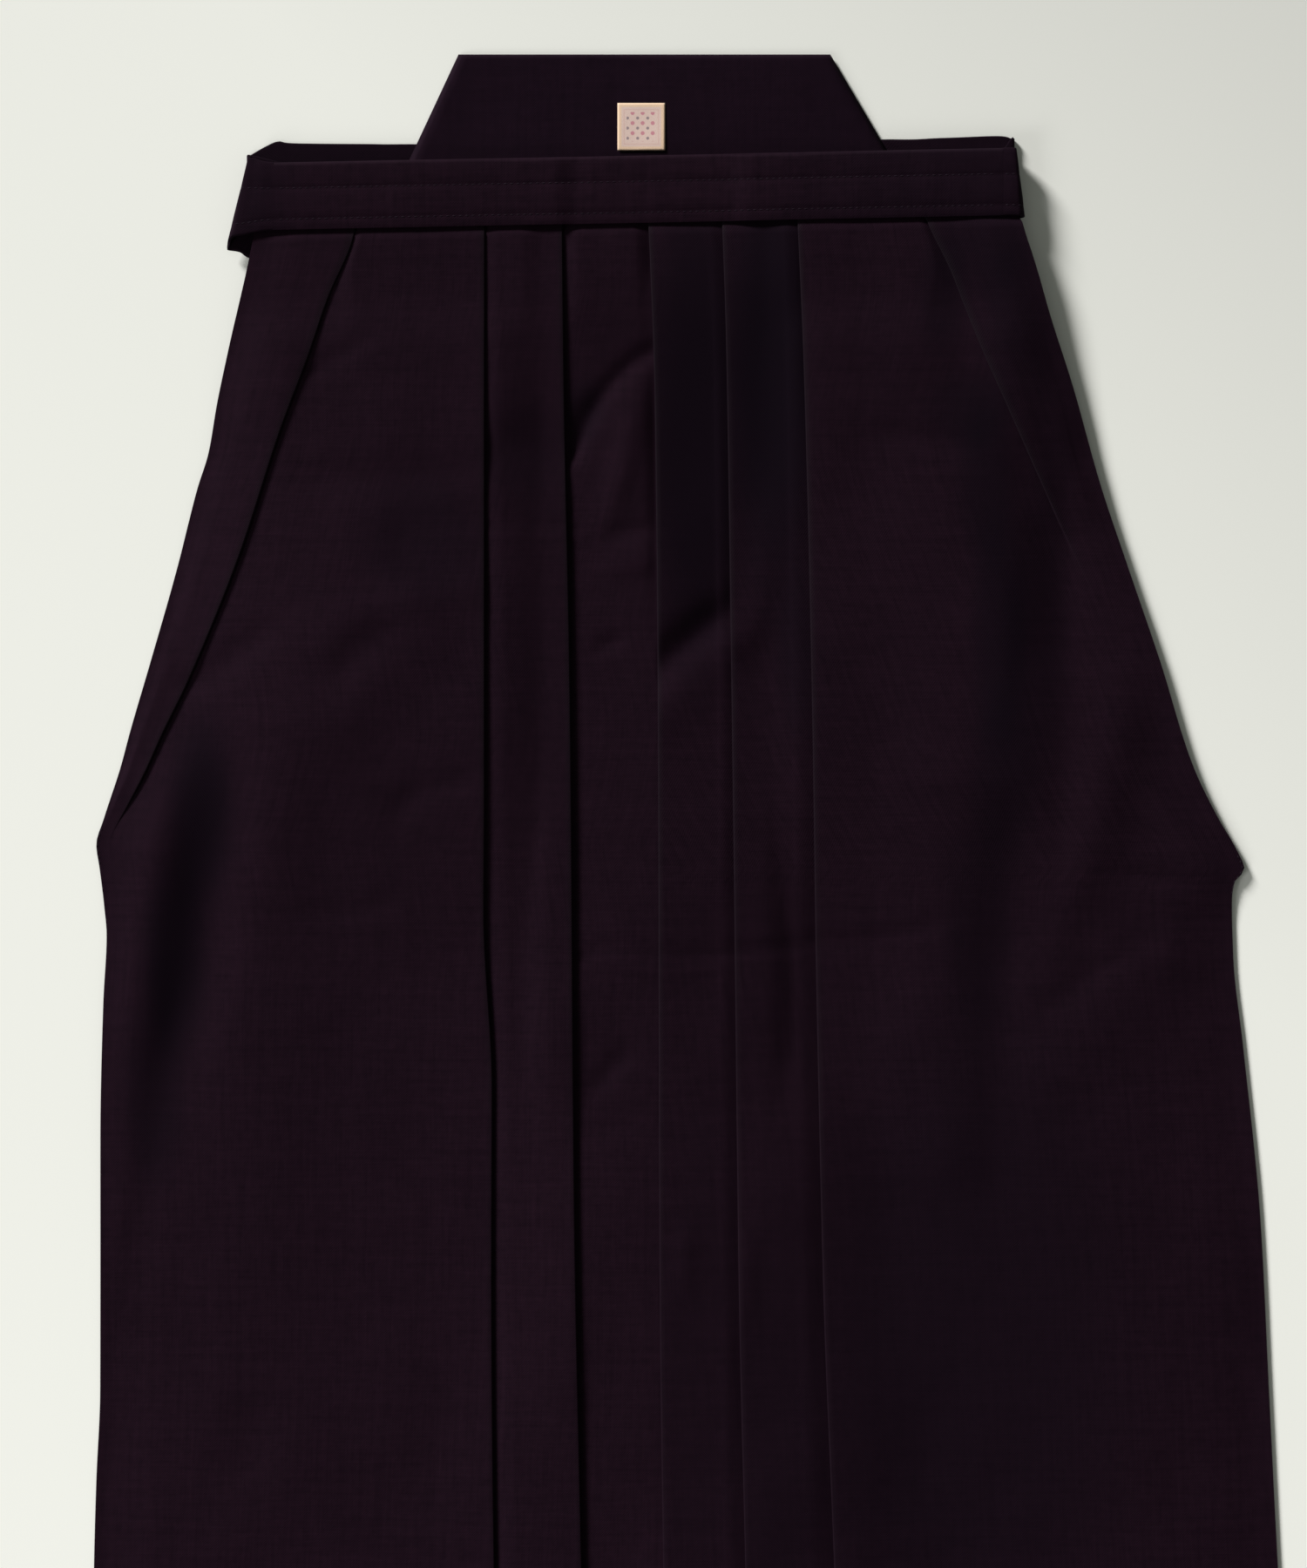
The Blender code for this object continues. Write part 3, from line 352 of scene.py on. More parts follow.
def unevenness(u, v):
    """Slow irregular waves of cloth that has been folded away and laid out again."""
    bent_u, bent_v = u + 14 * np.sin(v / 41.0 + 0.6), v + 17 * np.sin(u / 37.0 + 1.9)
    waves = np.sin(bent_u / 13.0) * np.sin(bent_v / 21.0 + 0.7) + 0.7 * np.sin(bent_u / 23.0 + bent_v / 31.0)
    return 0.22 * (waves + 0.5 * np.sin(bent_u / 7.0 - bent_v / 19.0) * np.sin(bent_v / 15.0 + 2.0))


def creases(u, v, strip):
    """Sum of a strip's creases: each a bell across a bent line, fading at the ends that aren't kept full."""
    height = np.zeros(np.broadcast(u, v).shape)
    t = np.linspace(0.0, 1.0, 9)
    for owner, u0, v0, u1, v1, u2, v2, half_width, rise, full_start, full_end in CREASES:
        if owner != strip:
            continue
        line_u = (1 - t) * (1 - 2 * t) * u0 + 4 * t * (1 - t) * u1 + t * (2 * t - 1) * u2
        line_v = (1 - t) * (1 - 2 * t) * v0 + 4 * t * (1 - t) * v1 + t * (2 * t - 1) * v2
        best, where = np.full(height.shape, 1e9), np.zeros(height.shape)
        for i in range(len(t) - 1):
            du, dv = line_u[i + 1] - line_u[i], line_v[i + 1] - line_v[i]
            share = np.clip(((u - line_u[i]) * du + (v - line_v[i]) * dv) / (du * du + dv * dv), 0.0, 1.0)
            apart = np.hypot(u - line_u[i] - share * du, v - line_v[i] - share * dv)
            where = np.where(apart < best, (i + share) / (len(t) - 1), where)
            best = np.minimum(best, apart)
        fade = np.maximum(full_start, smooth(where, -0.1, 0.35))
        fade = fade * np.maximum(full_end, 1 - smooth(where, 0.65, 1.1))
        height = height + fade * rise * bell(best, half_width)
    return height


def painted_shade_at(u, v, strips, index):
    """How much painted shade darkens each point: soft round patches, strip by strip."""
    amount = np.zeros(u.shape)
    for owner, at_u, at_v, reach_u, reach_v, rise in PAINTED_SHADE_PATCHES:
        if owner in strips:
            same = np.clip(1 - np.abs(index - strips.index(owner)), 0.0, 1.0)
            apart = ((u - at_u) / reach_u) ** 2 + ((v - at_v) / reach_v) ** 2
            amount += same * rise * np.exp(-apart * apart)
    return amount


def front_lift(u, v, strips, index):
    """Height under the front's lowest layer, with room for its troughs away from waist and edges.

    The index says which strip's creases a point follows; a hidden layer passes from one to the next.
    """
    inside = np.minimum(u - along(RIGHT_EDGE, v), along(LEFT_EDGE, v) - u)
    room = 1.9 * smooth(v, 96.0, 160.0) * smooth(inside, 3.0, 34.0)
    edge = np.interp(v, EDGE_LIFT[:, 0], EDGE_LIFT[:, 1]) * smooth(u, 60.0, 120.0)
    edge = edge * (1 - smooth(inside, 2.0, 42.0))
    below_band = v - BAND_TILT * u - BAND_TOP - BAND_WIDTH
    seam = smooth(below_band, 0.6, 4.0) * (1 - smooth(v, 100.0, 215.0))
    tucked = TUCKED * (1 - smooth(below_band, 0.3, 3.0))
    folded = np.zeros(u.shape)
    for number, strip in enumerate(strips):
        folded += np.clip(1 - np.abs(index - number), 0.0, 1.0) * creases(u, v, strip)
    loose = smooth(v, 86.0, 130.0)
    lift = bed(u, v) + room + edge + SEAM_RISE * seam - tucked + folded * smooth(v, 86.0, 100.0)
    return lift + unevenness(u, v) * loose * smooth(inside, 0.0, 12.0)


# ---------------------------------------------------------------- cross-sections, one row for each v


def stretch(start, end, count, eased=False):
    """Points from start up to but not including end, with z straight or leaving and arriving level."""
    share = np.arange(count) / count
    blend = share * share * (3 - 2 * share) if eased else share
    rows = np.broadcast(start[0], start[1], end[0], end[1]).shape
    u0, z0, u1, z1 = (np.broadcast_to(x, rows)[:, None] for x in (*start, *end))
    return np.stack([u0 + (u1 - u0) * share, z0 + (z1 - z0) * blend], axis=-1)


def end_at(u, z):
    """The single last point of a section."""
    return stretch((u, z), (u, z), 1)


def turn(centre, level, side, rise, radius):
    """Half circle round a pressed fold, from level to the next layer; side is where it bulges."""
    angle = np.pi * np.arange(6) / 6
    level, radius = (np.broadcast_to(x, np.shape(centre))[:, None] for x in (level, radius))
    return np.stack([np.asarray(centre)[:, None] + side * radius * np.sin(angle),
                     level + rise * radius * (1 - np.cos(angle))], axis=-1)


def layer_gap(v):
    """From one layer of a pleat to the next at height v."""
    return LAYER_TOP + (LAYER_LOW - LAYER_TOP) * smooth(v, 90.0, 260.0)


def side_pleat(v, crest, width, opens, side):
    """The slanting pleat's two folds: an arc, a straight stretch and the same arc turned back.

    The arcs turn through half a circle, and open out to nothing over the last stretch.
    Returns the strip's level, where it ends, its overlap, the points, where the main cloth starts
    and how far the pleat is still closed.
    """
    radius = layer_gap(v) / 2
    closed = 1 - smooth(v, opens[0], opens[1])
    angle = np.pi * closed
    overlap = 0.5 * width - 1.0
    length = 0.3 + (overlap - 0.3) * (1 - smooth(v, opens[2], opens[3]))
    parts = np.arange(7)[None, :] / 6 * angle[:, None]
    drop = 2 * radius * (1 - np.cos(angle)) + length * np.sin(angle)
    level = LOW + drop
    strip_end = crest - side * (radius + CLOTH / 2)
    radii = radius[:, None]
    upper = np.stack([strip_end[:, None] + side * radii * np.sin(parts),
                      level[:, None] - radii * (1 - np.cos(parts))], axis=-1)
    first = (upper[:, -1, 0], upper[:, -1, 1])
    second = (first[0] + side * length * np.cos(angle), first[1] - length * np.sin(angle))
    start = second[0] + side * radius * np.sin(angle)
    lower = np.stack([start[:, None] - side * radii * np.sin(parts[:, ::-1]),
                      LOW + radii * (1 - np.cos(parts[:, ::-1]))], axis=-1)
    points = np.concatenate([upper[:, :-1], stretch(first, second, 4), lower[:, :-1]], axis=1)
    points[..., 0] += side * 0.02 * np.arange(points.shape[1])
    return level, strip_end, overlap, points, start + side * 0.02 * points.shape[1], closed


def tilted(v, line):
    """The height that a row reaches on a slanting line, once the band's slope has tilted the row."""
    return v + BAND_TILT * along(line, v) * level_rows(v)


def front_section(v, edge_line, pleat_line, opens, folds, side, closing):
    """Middle line of a front panel's cross-sections from the outer edge to the centre seam.

    The outer strip climbs to the slanting pleat, the main cloth climbs over each knife pleat in
    turn, folds back under and comes out lower on the far side. Also gives the strip number of every
    point, the columns of the folds with how far they are worn and given a painted highlight, and the
    columns that are seen from above.
    """
    edge, crest = along(edge_line, tilted(v, edge_line)), along(pleat_line, tilted(v, pleat_line))
    gap = layer_gap(v)
    low, middle, high, radius = LOW + 0 * v, LOW + gap, LOW + 2 * gap, gap / 2
    level, strip_end, overlap, pleat, start, closed = side_pleat(v, crest, np.abs(crest - edge), opens, side)
    climb_end = crest - side * (overlap + 2.5)
    parts = [stretch((edge, low), (climb_end, level), 9, eased=True),
             stretch((climb_end, level), (strip_end, level), 6), pleat]
    strips = [np.zeros((len(v), sum(p.shape[1] for p in parts)))]
    side_crest = parts[0].shape[1] + parts[1].shape[1] + 2
    pressed, shown = [(side_crest, closed)], [(0, side_crest)]
    cover, longest = crest, 6.0 + 54.0 * smooth(v, 95.0, 200.0)
    under = 1.5 - 3.5 * (1 - smooth(v, 95.0, 170.0))
    for number, fold in enumerate(folds):
        x_fold = along(fold, v)
        puff = np.interp(v, PUFF[:, 0], PUFF[:, 1 if side > 0 else 2 + (number == 0)])
        emerge = cover + side * under if number == 0 else cover - side * 5.0
        emerge = side * np.maximum(side * emerge, side * start + 0.5)
        inner = x_fold - side * (PLEAT_DEPTH + 1.5)
        ramp_end = emerge + side * np.minimum(longest if number == 0 else 99.0, 0.9 * np.abs(inner - emerge))
        centre = x_fold - side * (radius + CLOTH / 2)
        before = sum(p.shape[1] for p in parts)
        top = [stretch((start, low), (emerge, low), 4),
               stretch((emerge, low), (ramp_end, high), 8 if number else 14, eased=True),
               stretch((ramp_end, high), (inner, high), 4 if number else 26),
               stretch((inner, high), (centre, high + puff), 14)]
        parts += top
        hidden = np.concatenate(top, axis=1)[..., 0]
        behind = smooth(side * (cover[:, None] - hidden), 0.5, 3.5) if number else 0 * hidden
        strips.append(number - behind)
        crest_column = sum(p.shape[1] for p in parts)
        pressed.append((crest_column + 2, 0 * v + 1))
        shown.append((before + 4, crest_column + 2))
        parts.append(turn(centre, high + puff, side, -1, radius))
        if number == len(folds) - 1 and closing == "return":
            seam, drop_start = x_fold - side * PLEAT_DEPTH, x_fold - side * (SEAM_UNDER + 1.5)
            parts += [stretch((centre, middle + puff), (drop_start, middle), 6),
                      stretch((drop_start, middle), (seam, low), 4, eased=True), end_at(seam, low)]
            strips.append(np.full((len(v), 17), float(number)))
            return np.concatenate(parts, axis=1), np.concatenate(strips, axis=1), pressed, shown
        back = x_fold - side * (PLEAT_DEPTH - radius - CLOTH / 2)
        parts += [stretch((centre, middle + puff), (back, middle), 6), turn(back, middle, -side, -1, radius)]
        strips.append(np.full((len(v), 18), float(number)))
        start, cover = back, x_fold
    seam = along(FOLD_3, v) + SEAM_UNDER
    last = [stretch((start, low), (cover, low), 8), stretch((cover, low), (seam, low), 30),
            end_at(seam, low)]
    across = np.concatenate(last, axis=1)[..., 0]
    raised = smooth(side * (across - cover[:, None]), 0.0, 8.0)
    raised = raised * (1 - smooth(side * (across - along(FOLD_3, v)[:, None]), -8.0, -1.0))
    raised = raised * 1.4 * (1 - smooth(v, 92.0, 170.0))[:, None]
    shown.append((sum(p.shape[1] for p in parts) + 8, sum(p.shape[1] for p in parts) + 25))
    strips.append(len(folds) - smooth(side * (cover[:, None] - across), 0.5, 3.5)
                  + smooth(side * (across - along(FOLD_3, v)[:, None]), 0.0, 6.0))
    last = np.concatenate(last, axis=1) + raised[..., None] * (0.0, 1.0)
    return np.concatenate(parts + [last], axis=1), np.concatenate(strips, axis=1), pressed, shown


def back_lift(u, v, edge_line, side):
    """Low ridges of the hidden back, clear of its edges, pleat and hem; the rest of it lies flat."""
    inside = side * (u - along(edge_line, v))
    clear = smooth(inside, 12.0, 40.0) * (1 - smooth(side * (u - BACK_CENTRE), -95.0, -58.0))
    clear = clear * smooth(v, 110.0, 160.0) * (1 - smooth(v, 960.0, 1010.0))
    return clear * creases(u, v, "back right" if side > 0 else "back left").clip(0.0, 0.3)


def back_section(v, edge_line, end, side):
    """Middle line of a back panel from its outer edge, round its pleat, to the centre seam."""
    inset = 1.4 + 3.6 * (1 - smooth(v, end - 28.0, end))
    radius, middle, high = BACK_LAYER / 2, LOW + BACK_LAYER, LOW + 2 * BACK_LAYER
    edge = along(edge_line, v) + side * inset
    meet = BACK_CENTRE - side * (GAP / 2 + 0.5 + radius) + 0.0 * v
    inner = BACK_CENTRE - side * (BACK_DEPTH - radius - 0.5) + 0.0 * v
    seam = BACK_CENTRE - side * 0.3 + 0.0 * v
    parts = [stretch((edge, LOW), (meet, LOW), 26), turn(meet, LOW, side, 1, radius),
             stretch((meet, middle), (inner, middle), 5), turn(inner, middle, -side, 1, radius),
             stretch((inner, high), (seam, high), 5), end_at(seam, high)]
    points = np.concatenate(parts, axis=1)
    points[..., 1] += back_lift(points[..., 0], v[:, None], edge_line, side)
    crest = parts[0].shape[1] + 3
    return points, 0 * points[..., 0], [(crest, 1.0 + 0.0 * v)], [(0, crest)]


def gusset_section(v, side):
    """Middle line of a gusset: from the front seam out to its fold and back to the back seam."""
    lower, upper = BACK_STACK + GAP + LOW, BACK_STACK + GAP + GUSSET_LAYER + LOW
    radius = GUSSET_LAYER / 2
    front_seam = along(FOLD_3, v) + (SEAM_UNDER if side < 0 else SEAM_UNDER + 1.2)
    reach = gusset_reach(v)
    fold = -reach if side < 0 else GUSSET_OFFSET + reach
    back_seam = BACK_CENTRE + side * 0.4 + 0.0 * v
    parts = [stretch((front_seam, upper), (fold, upper), 10), turn(fold, upper, side, -1, radius),
             stretch((fold, lower), (back_seam, lower), 10), end_at(back_seam, lower)]
    points = np.concatenate(parts, axis=1)
    crest = parts[0].shape[1] + 3
    return points, 0 * points[..., 0], [(crest, 1.0 + 0.0 * v)], [(0, crest)]


# ---------------------------------------------------------------- meshes


def to_world(points):
    """Turn u, v, z in millimetres into metres about the origin under the middle of the garment."""
    u, v, z = points[..., 0], points[..., 1], points[..., 2]
    return np.stack([(u - CENTRE_U) / 1000, (LENGTH / 2 - v) / 1000, z / 1000], axis=-1)


def add_piece(name, points, faces, finish, uv=None, wear_and_painted_light=None):
    """Put points and faces of four corners into a mesh, turned outwards by its signed volume."""
    vertices = to_world(points)
    a, b, c, d = (vertices[faces[:, i]] for i in range(4))
    volume = (a * np.cross(b, c)).sum() + (a * np.cross(c, d)).sum()
    if volume < 0:
        faces = faces[:, ::-1]
    mesh = bpy.data.meshes.new(name)
    mesh.from_pydata(vertices.tolist(), [], faces.tolist())
    mesh.polygons.foreach_set("use_smooth", [True] * len(mesh.polygons))
    if uv is not None:
        corners = np.empty(len(mesh.loops), dtype=np.int32)
        mesh.loops.foreach_get("vertex_index", corners)
        mesh.uv_layers.new(name="cloth").data.foreach_set("uv", (uv[corners] / 1000).ravel())
    # attributes: worn fold edges with a painted highlight, then painted shade
    for name_of, column in zip(("wear_and_painted_light", "painted_shade"), () if wear_and_painted_light is None else wear_and_painted_light.T):
        mesh.attributes.new(name_of, "FLOAT", "POINT").data.foreach_set("value", column.astype(np.float32))
    mesh.materials.append(finish)
    piece = bpy.data.objects.new(name, mesh)
    bpy.context.scene.collection.objects.link(piece)
    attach(piece, "root")
    return piece


def ring_faces(rows, count):
    """Quads between neighbouring closed rings, and a ladder of quads over each end.

    Each ring holds one side's points forwards and the other side's points backwards.
    """
    index = np.arange(rows * count).reshape(rows, count)
    after = np.roll(index, -1, axis=1)
    wall = np.stack([index[:-1], after[:-1], after[1:], index[1:]], axis=-1).reshape(-1, 4)
    i = np.arange(count // 2 - 1)
    caps = []
    for first, order in ((0, 1), ((rows - 1) * count, -1)):
        ladder = np.stack([first + i + 1, first + i, first + count - 1 - i, first + count - 2 - i], axis=-1)
        caps.append(ladder[:, ::order])
    return np.vstack([wall] + caps)


def tighten(x, axis, share):
    """Add a row or column next to each end of a grid, a small share of the way to its neighbour."""
    x = np.moveaxis(x, axis, 0)
    first, last = x[:1] + share * (x[1:2] - x[:1]), x[-1:] + share * (x[-2:-1] - x[-1:])
    return np.moveaxis(np.concatenate([x[:1], first, x[1:-1], last, x[-1:]]), 0, axis)


def cloth_shell(name, middle, thickness, uv, wear_and_painted_light, finish):
    """A closed thin shell: the middle surface moved half a thickness to both sides of its normals."""
    middle, uv, wear_and_painted_light = (tighten(tighten(x, 0, 0.04), 1, 0.06) for x in (middle, uv, wear_and_painted_light))
    across, down = np.gradient(middle, axis=1), np.gradient(middle, axis=0)
    normal = np.cross(across, down)
    normal /= np.linalg.norm(normal, axis=-1, keepdims=True)
    offset = normal * np.broadcast_to(thickness, middle.shape[:2])[..., None] / 2
    rings = np.concatenate([middle + offset, (middle - offset)[:, ::-1]], axis=1)
    rows, count = rings.shape[:2]
    uv, wear_and_painted_light = (np.concatenate([x, x[:, ::-1]], axis=1) for x in (uv, wear_and_painted_light))
    return add_piece(name, rings.reshape(-1, 3), ring_faces(rows, count), finish, uv.reshape(-1, 2),
                     wear_and_painted_light.reshape(rows * count, -1))


def stitches(name, path, facing, kind, finish):
    """Capsule stitches along a path: a six-sided tube that swells from nothing and sinks at both ends.

    The path is a dense line of points with the cloth's facing at each; every stitch takes its
    place, heading and facing from it by length.
    """
    long, pitch, radius = kind
    where = run_across(path[None])[0]
    starts = np.arange(pitch * 0.3, where[-1] - long, pitch)
    t = np.linspace(0.0, 1.0, 6)
    at = starts[:, None] + long * t[None, :]
    centre = np.stack([np.interp(at, where, path[:, i]) for i in range(3)], axis=-1)
    heading = centre[:, -1] - centre[:, 0]
    heading /= np.linalg.norm(heading, axis=-1, keepdims=True)
    facing = np.broadcast_to(np.asarray(facing, float), path.shape)
    up = np.stack([np.interp(at.mean(axis=1), where, facing[:, i]) for i in range(3)], axis=-1)
    up /= np.linalg.norm(up, axis=-1, keepdims=True)
    aside = np.cross(heading, up)
    aside /= np.linalg.norm(aside, axis=-1, keepdims=True)
    swell = np.sqrt(np.clip(np.sin(np.pi * np.clip(t, 0.04, 0.96)), 0, 1))
    angle = 2 * np.pi * np.arange(6) / 6
    ring = (np.cos(angle)[None, None, :, None] * aside[:, None, None, :]
            + np.sin(angle)[None, None, :, None] * up[:, None, None, :])
    sink = (radius * 1.1 * (np.abs(2 * t - 1) ** 3))[None, :, None, None] * up[:, None, None, :]
    points = centre[:, :, None, :] + ring * (radius * swell)[None, :, None, None] - sink
    number = len(starts)
    index = np.arange(number * 36).reshape(number, 6, 6)
    after = np.roll(index, -1, axis=2)
    wall = np.stack([index[:, :-1], after[:, :-1], after[:, 1:], index[:, 1:]], axis=-1).reshape(-1, 4)
    ends = [index[:, row][:, order] for row, order in
            ((0, [0, 1, 2, 3]), (0, [0, 3, 4, 5]), (5, [3, 2, 1, 0]), (5, [5, 4, 3, 0]))]
    return add_piece(name, points.reshape(-1, 3), np.vstack([wall] + ends), finish)


def lay_panel(name, v, section, strips, tilt, finish):
    """Carry a folded cross-section down its rows and lay it on what is under it.

    The cloth's own lengths run across and down it as its map; its pressed folds grow paler, worn
    and with a painted highlight, and painted shade lies over it in patches.
    Returns the piece, its section lengths and the part of its face that is seen, strip by strip.
    """
    points, index, pressed, shown = section(v)
    rows = v[:, None] + tilt * points[..., 0] * level_rows(v[:, None])
    z = points[..., 1] + (front_lift(points[..., 0], rows, strips, index) if strips else 0.0)
    # painted shade: darker patches of the front
    painted_shade = painted_shade_at(points[..., 0], rows, strips, index)
    middle = np.stack([points[..., 0], rows, z], axis=-1)
    length = run_across(middle)
    # pressed folds worn paler, with a painted highlight where their edges catch the light
    wear_and_painted_light = np.zeros(length.shape)
    for column, amount in pressed:
        amount = (amount * (1 - 0.6 * smooth(v, 330.0, 700.0)))[:, None]
        wear_and_painted_light = np.maximum(wear_and_painted_light, amount * np.exp(-np.abs(length - length[:, column:column + 1]) / 1.1))
    uv, wear_and_painted_light = np.stack([length, rows], axis=-1), np.stack([wear_and_painted_light, painted_shade], axis=-1)
    faces = [middle[:, start:end] + (0.0, 0.0, CLOTH / 2) for start, end in shown]
    thickness = tighten((CLOTH - PRESSED * (1 - smooth(v, 130.0, 230.0)))[:, None], 0, 0.04)
    return cloth_shell(name, middle, thickness, uv, wear_and_painted_light, finish), length, faces


# ---------------------------------------------------------------- finishes


class Signal:
    """A shader value whose arithmetic adds Math nodes."""

    def __init__(self, finish, socket):
        self.finish, self.socket = finish, socket

    def math(self, operation, *others):
        return self.finish.node("Math", {"operation": operation}, dict(enumerate((self,) + others)))

    def __add__(self, other):
        return self.math("ADD", other)

    def __radd__(self, other):
        return self.math("ADD", other)

    def __sub__(self, other):
        return self.math("SUBTRACT", other)

    def __rsub__(self, other):
        return (self * -1.0) + other

    def __mul__(self, other):
        return self.math("MULTIPLY", other)

    def __rmul__(self, other):
        return self.math("MULTIPLY", other)

    def sine(self):
        return self.math("SINE")

    def clamp(self):
        return self.math("MAXIMUM", 0.0).math("MINIMUM", 1.0)


class Finish:
    """A material of the Principled kind and one way to add nodes to it."""

    def __init__(self, name, roughness, specular, sheen=0.0, sheen_roughness=0.5, sheen_tint=(1, 1, 1, 1)):
        self.material = bpy.data.materials.new(name)
        self.material.use_nodes = True
        self.tree = self.material.node_tree
        self.shader = self.tree.nodes["Principled BSDF"]
        fixed = {"Roughness": roughness, "Specular IOR Level": specular, "Sheen Weight": sheen,
                 "Sheen Roughness": sheen_roughness, "Sheen Tint": sheen_tint}
        for socket, value in fixed.items():
            self.shader.inputs[socket].default_value = value

    def node(self, kind, settings=None, inputs=None, output=0):
        """Add a node of a type, set its settings, then link or set its inputs; return one output."""
        made = self.tree.nodes.new("ShaderNode" + kind)
        for key, value in (settings or {}).items():
            setattr(made, key, value)
        for key, value in (inputs or {}).items():
            if isinstance(value, Signal):
                self.tree.links.new(value.socket, made.inputs[key])
            else:
                made.inputs[key].default_value = value
        return Signal(self, made.outputs[output])

    def mix(self, factor, first, second):
        """Blend two colours."""
        return self.node("Mix", {"data_type": "RGBA"}, {0: factor, 6: first, 7: second}, output=2)

    def feed(self, **links):
        """Link signals to the shader's sockets, with underscores for spaces."""
        for key, value in links.items():
            self.tree.links.new(value.socket, self.shader.inputs[key.replace("_", " ")])

    def cloth_plane(self):
        """The cloth's own lengths across and down, in metres, from its map."""
        apart = self.node("SeparateXYZ", None, {0: self.node("UVMap", {"uv_map": "cloth"})})
        return apart, Signal(self, apart.socket.node.outputs[1])

    def noise(self, x, y, z, detail=2.0):
        """Noise from -1 to 1 over scaled coordinates."""
        where = self.node("CombineXYZ", None, {0: x, 1: y, 2: z})
        inputs = {"Vector": where, "Scale": 1.0, "Detail": detail, "Roughness": 0.55}
        return (self.node("TexNoise", None, inputs) - 0.5) * 2.0

    def relief(self, height, strength, distance):
        """Raise the surface by distance, in metres, for each 1 of height."""
        inputs = {"Strength": strength, "Distance": distance, "Height": height}
        self.feed(Normal=self.node("Bump", None, inputs))


def dark_cloth(name, colour, worn_and_highlit_colour, yarn=0.00062, streaks=1.0):
    """Plain-weave cloth of a yarn's width: crossing threads raise and shade it, slubs streak it
    both ways, broad patches vary its depth of dye, pressed folds are worn paler and glossier with a
    painted highlight, and painted shade darkens it to a bluer colour in patches."""
    finish = Finish(name, 0.78, 0.02, sheen=0.01, sheen_roughness=0.4, sheen_tint=(0.75, 0.6, 0.78, 1))
    across, down = finish.cloth_plane()
    warp = (across * (math.pi / yarn)).sine()
    weft = (down * (math.pi / yarn)).sine()
    weave = warp * weft
    slub_down = finish.noise(across * 1300.0, down * 60.0, 0.3)
    slub_across = finish.noise(across * 70.0, down * 1100.0, 7.1)
    streak = finish.noise(across * 380.0, down * 14.0, 4.9) + finish.noise(across * 18.0, down * 340.0, 2.2)
    patches = finish.noise(across * 9.0, down * 6.0, 3.7, detail=3.0)
    mottle = finish.noise(across * 300.0, down * 240.0, 5.5, detail=3.0)
    fine = (slub_down + slub_across + streak * 1.1 + mottle * 1.3) * (0.5 * streaks)
    wear_and_painted_light = finish.node("Attribute", {"attribute_name": "wear_and_painted_light"}, output=2)
    painted_shade = finish.node("Attribute", {"attribute_name": "painted_shade"}, output=2)
    shade = (weave * 0.14 + fine * 0.42 + patches * 0.24 + 0.5).clamp()
    low = (colour[0] * 0.55, colour[1] * 0.55, colour[2] * 0.60, 1)
    high = (colour[0] * 1.45, colour[1] * 1.45, colour[2] * 1.40, 1)
    # painted shade: a darker, bluer copy of the cloth's colour, mixed in by the painted shade patches
    painted_shade_colour = (colour[0] * 0.34, colour[1] * 0.55, colour[2] * 0.58, 1)
    dyed_and_painted_shade = finish.mix((painted_shade * (0.8 + fine * 0.2)).clamp(), finish.mix(shade, low, high), painted_shade_colour)
    # worn pressed folds, paler and glossier; the paler colour is also a painted highlight on the fold edges
    rubbed_and_highlit = (wear_and_painted_light * (fine * 0.35 + 0.8)).clamp()
    finish.feed(Base_Color=finish.mix(rubbed_and_highlit, dyed_and_painted_shade, worn_and_highlit_colour),
                Roughness=(rubbed_and_highlit * -0.14 + fine * 0.05 + 0.78).clamp())
    height = weave * 0.5 + fine * 0.55 + patches * 0.2
    finish.relief(height, 0.32, 0.00022)
    return finish.material


def thread_finish():
    """Twisted sewing thread in the cloth's own shade, a little paler."""
    finish = Finish("sewing_thread", 0.8, 0.04)
    where = finish.node("TexCoord", None, None, output=3)
    grain = finish.node("TexNoise", None, {"Vector": where, "Scale": 900.0, "Detail": 1.0})
    finish.feed(Base_Color=finish.mix(grain, (0.006, 0.004, 0.007, 1), (0.019, 0.012, 0.019, 1)))
    finish.relief(grain, 0.3, 0.0001)
    return finish.material


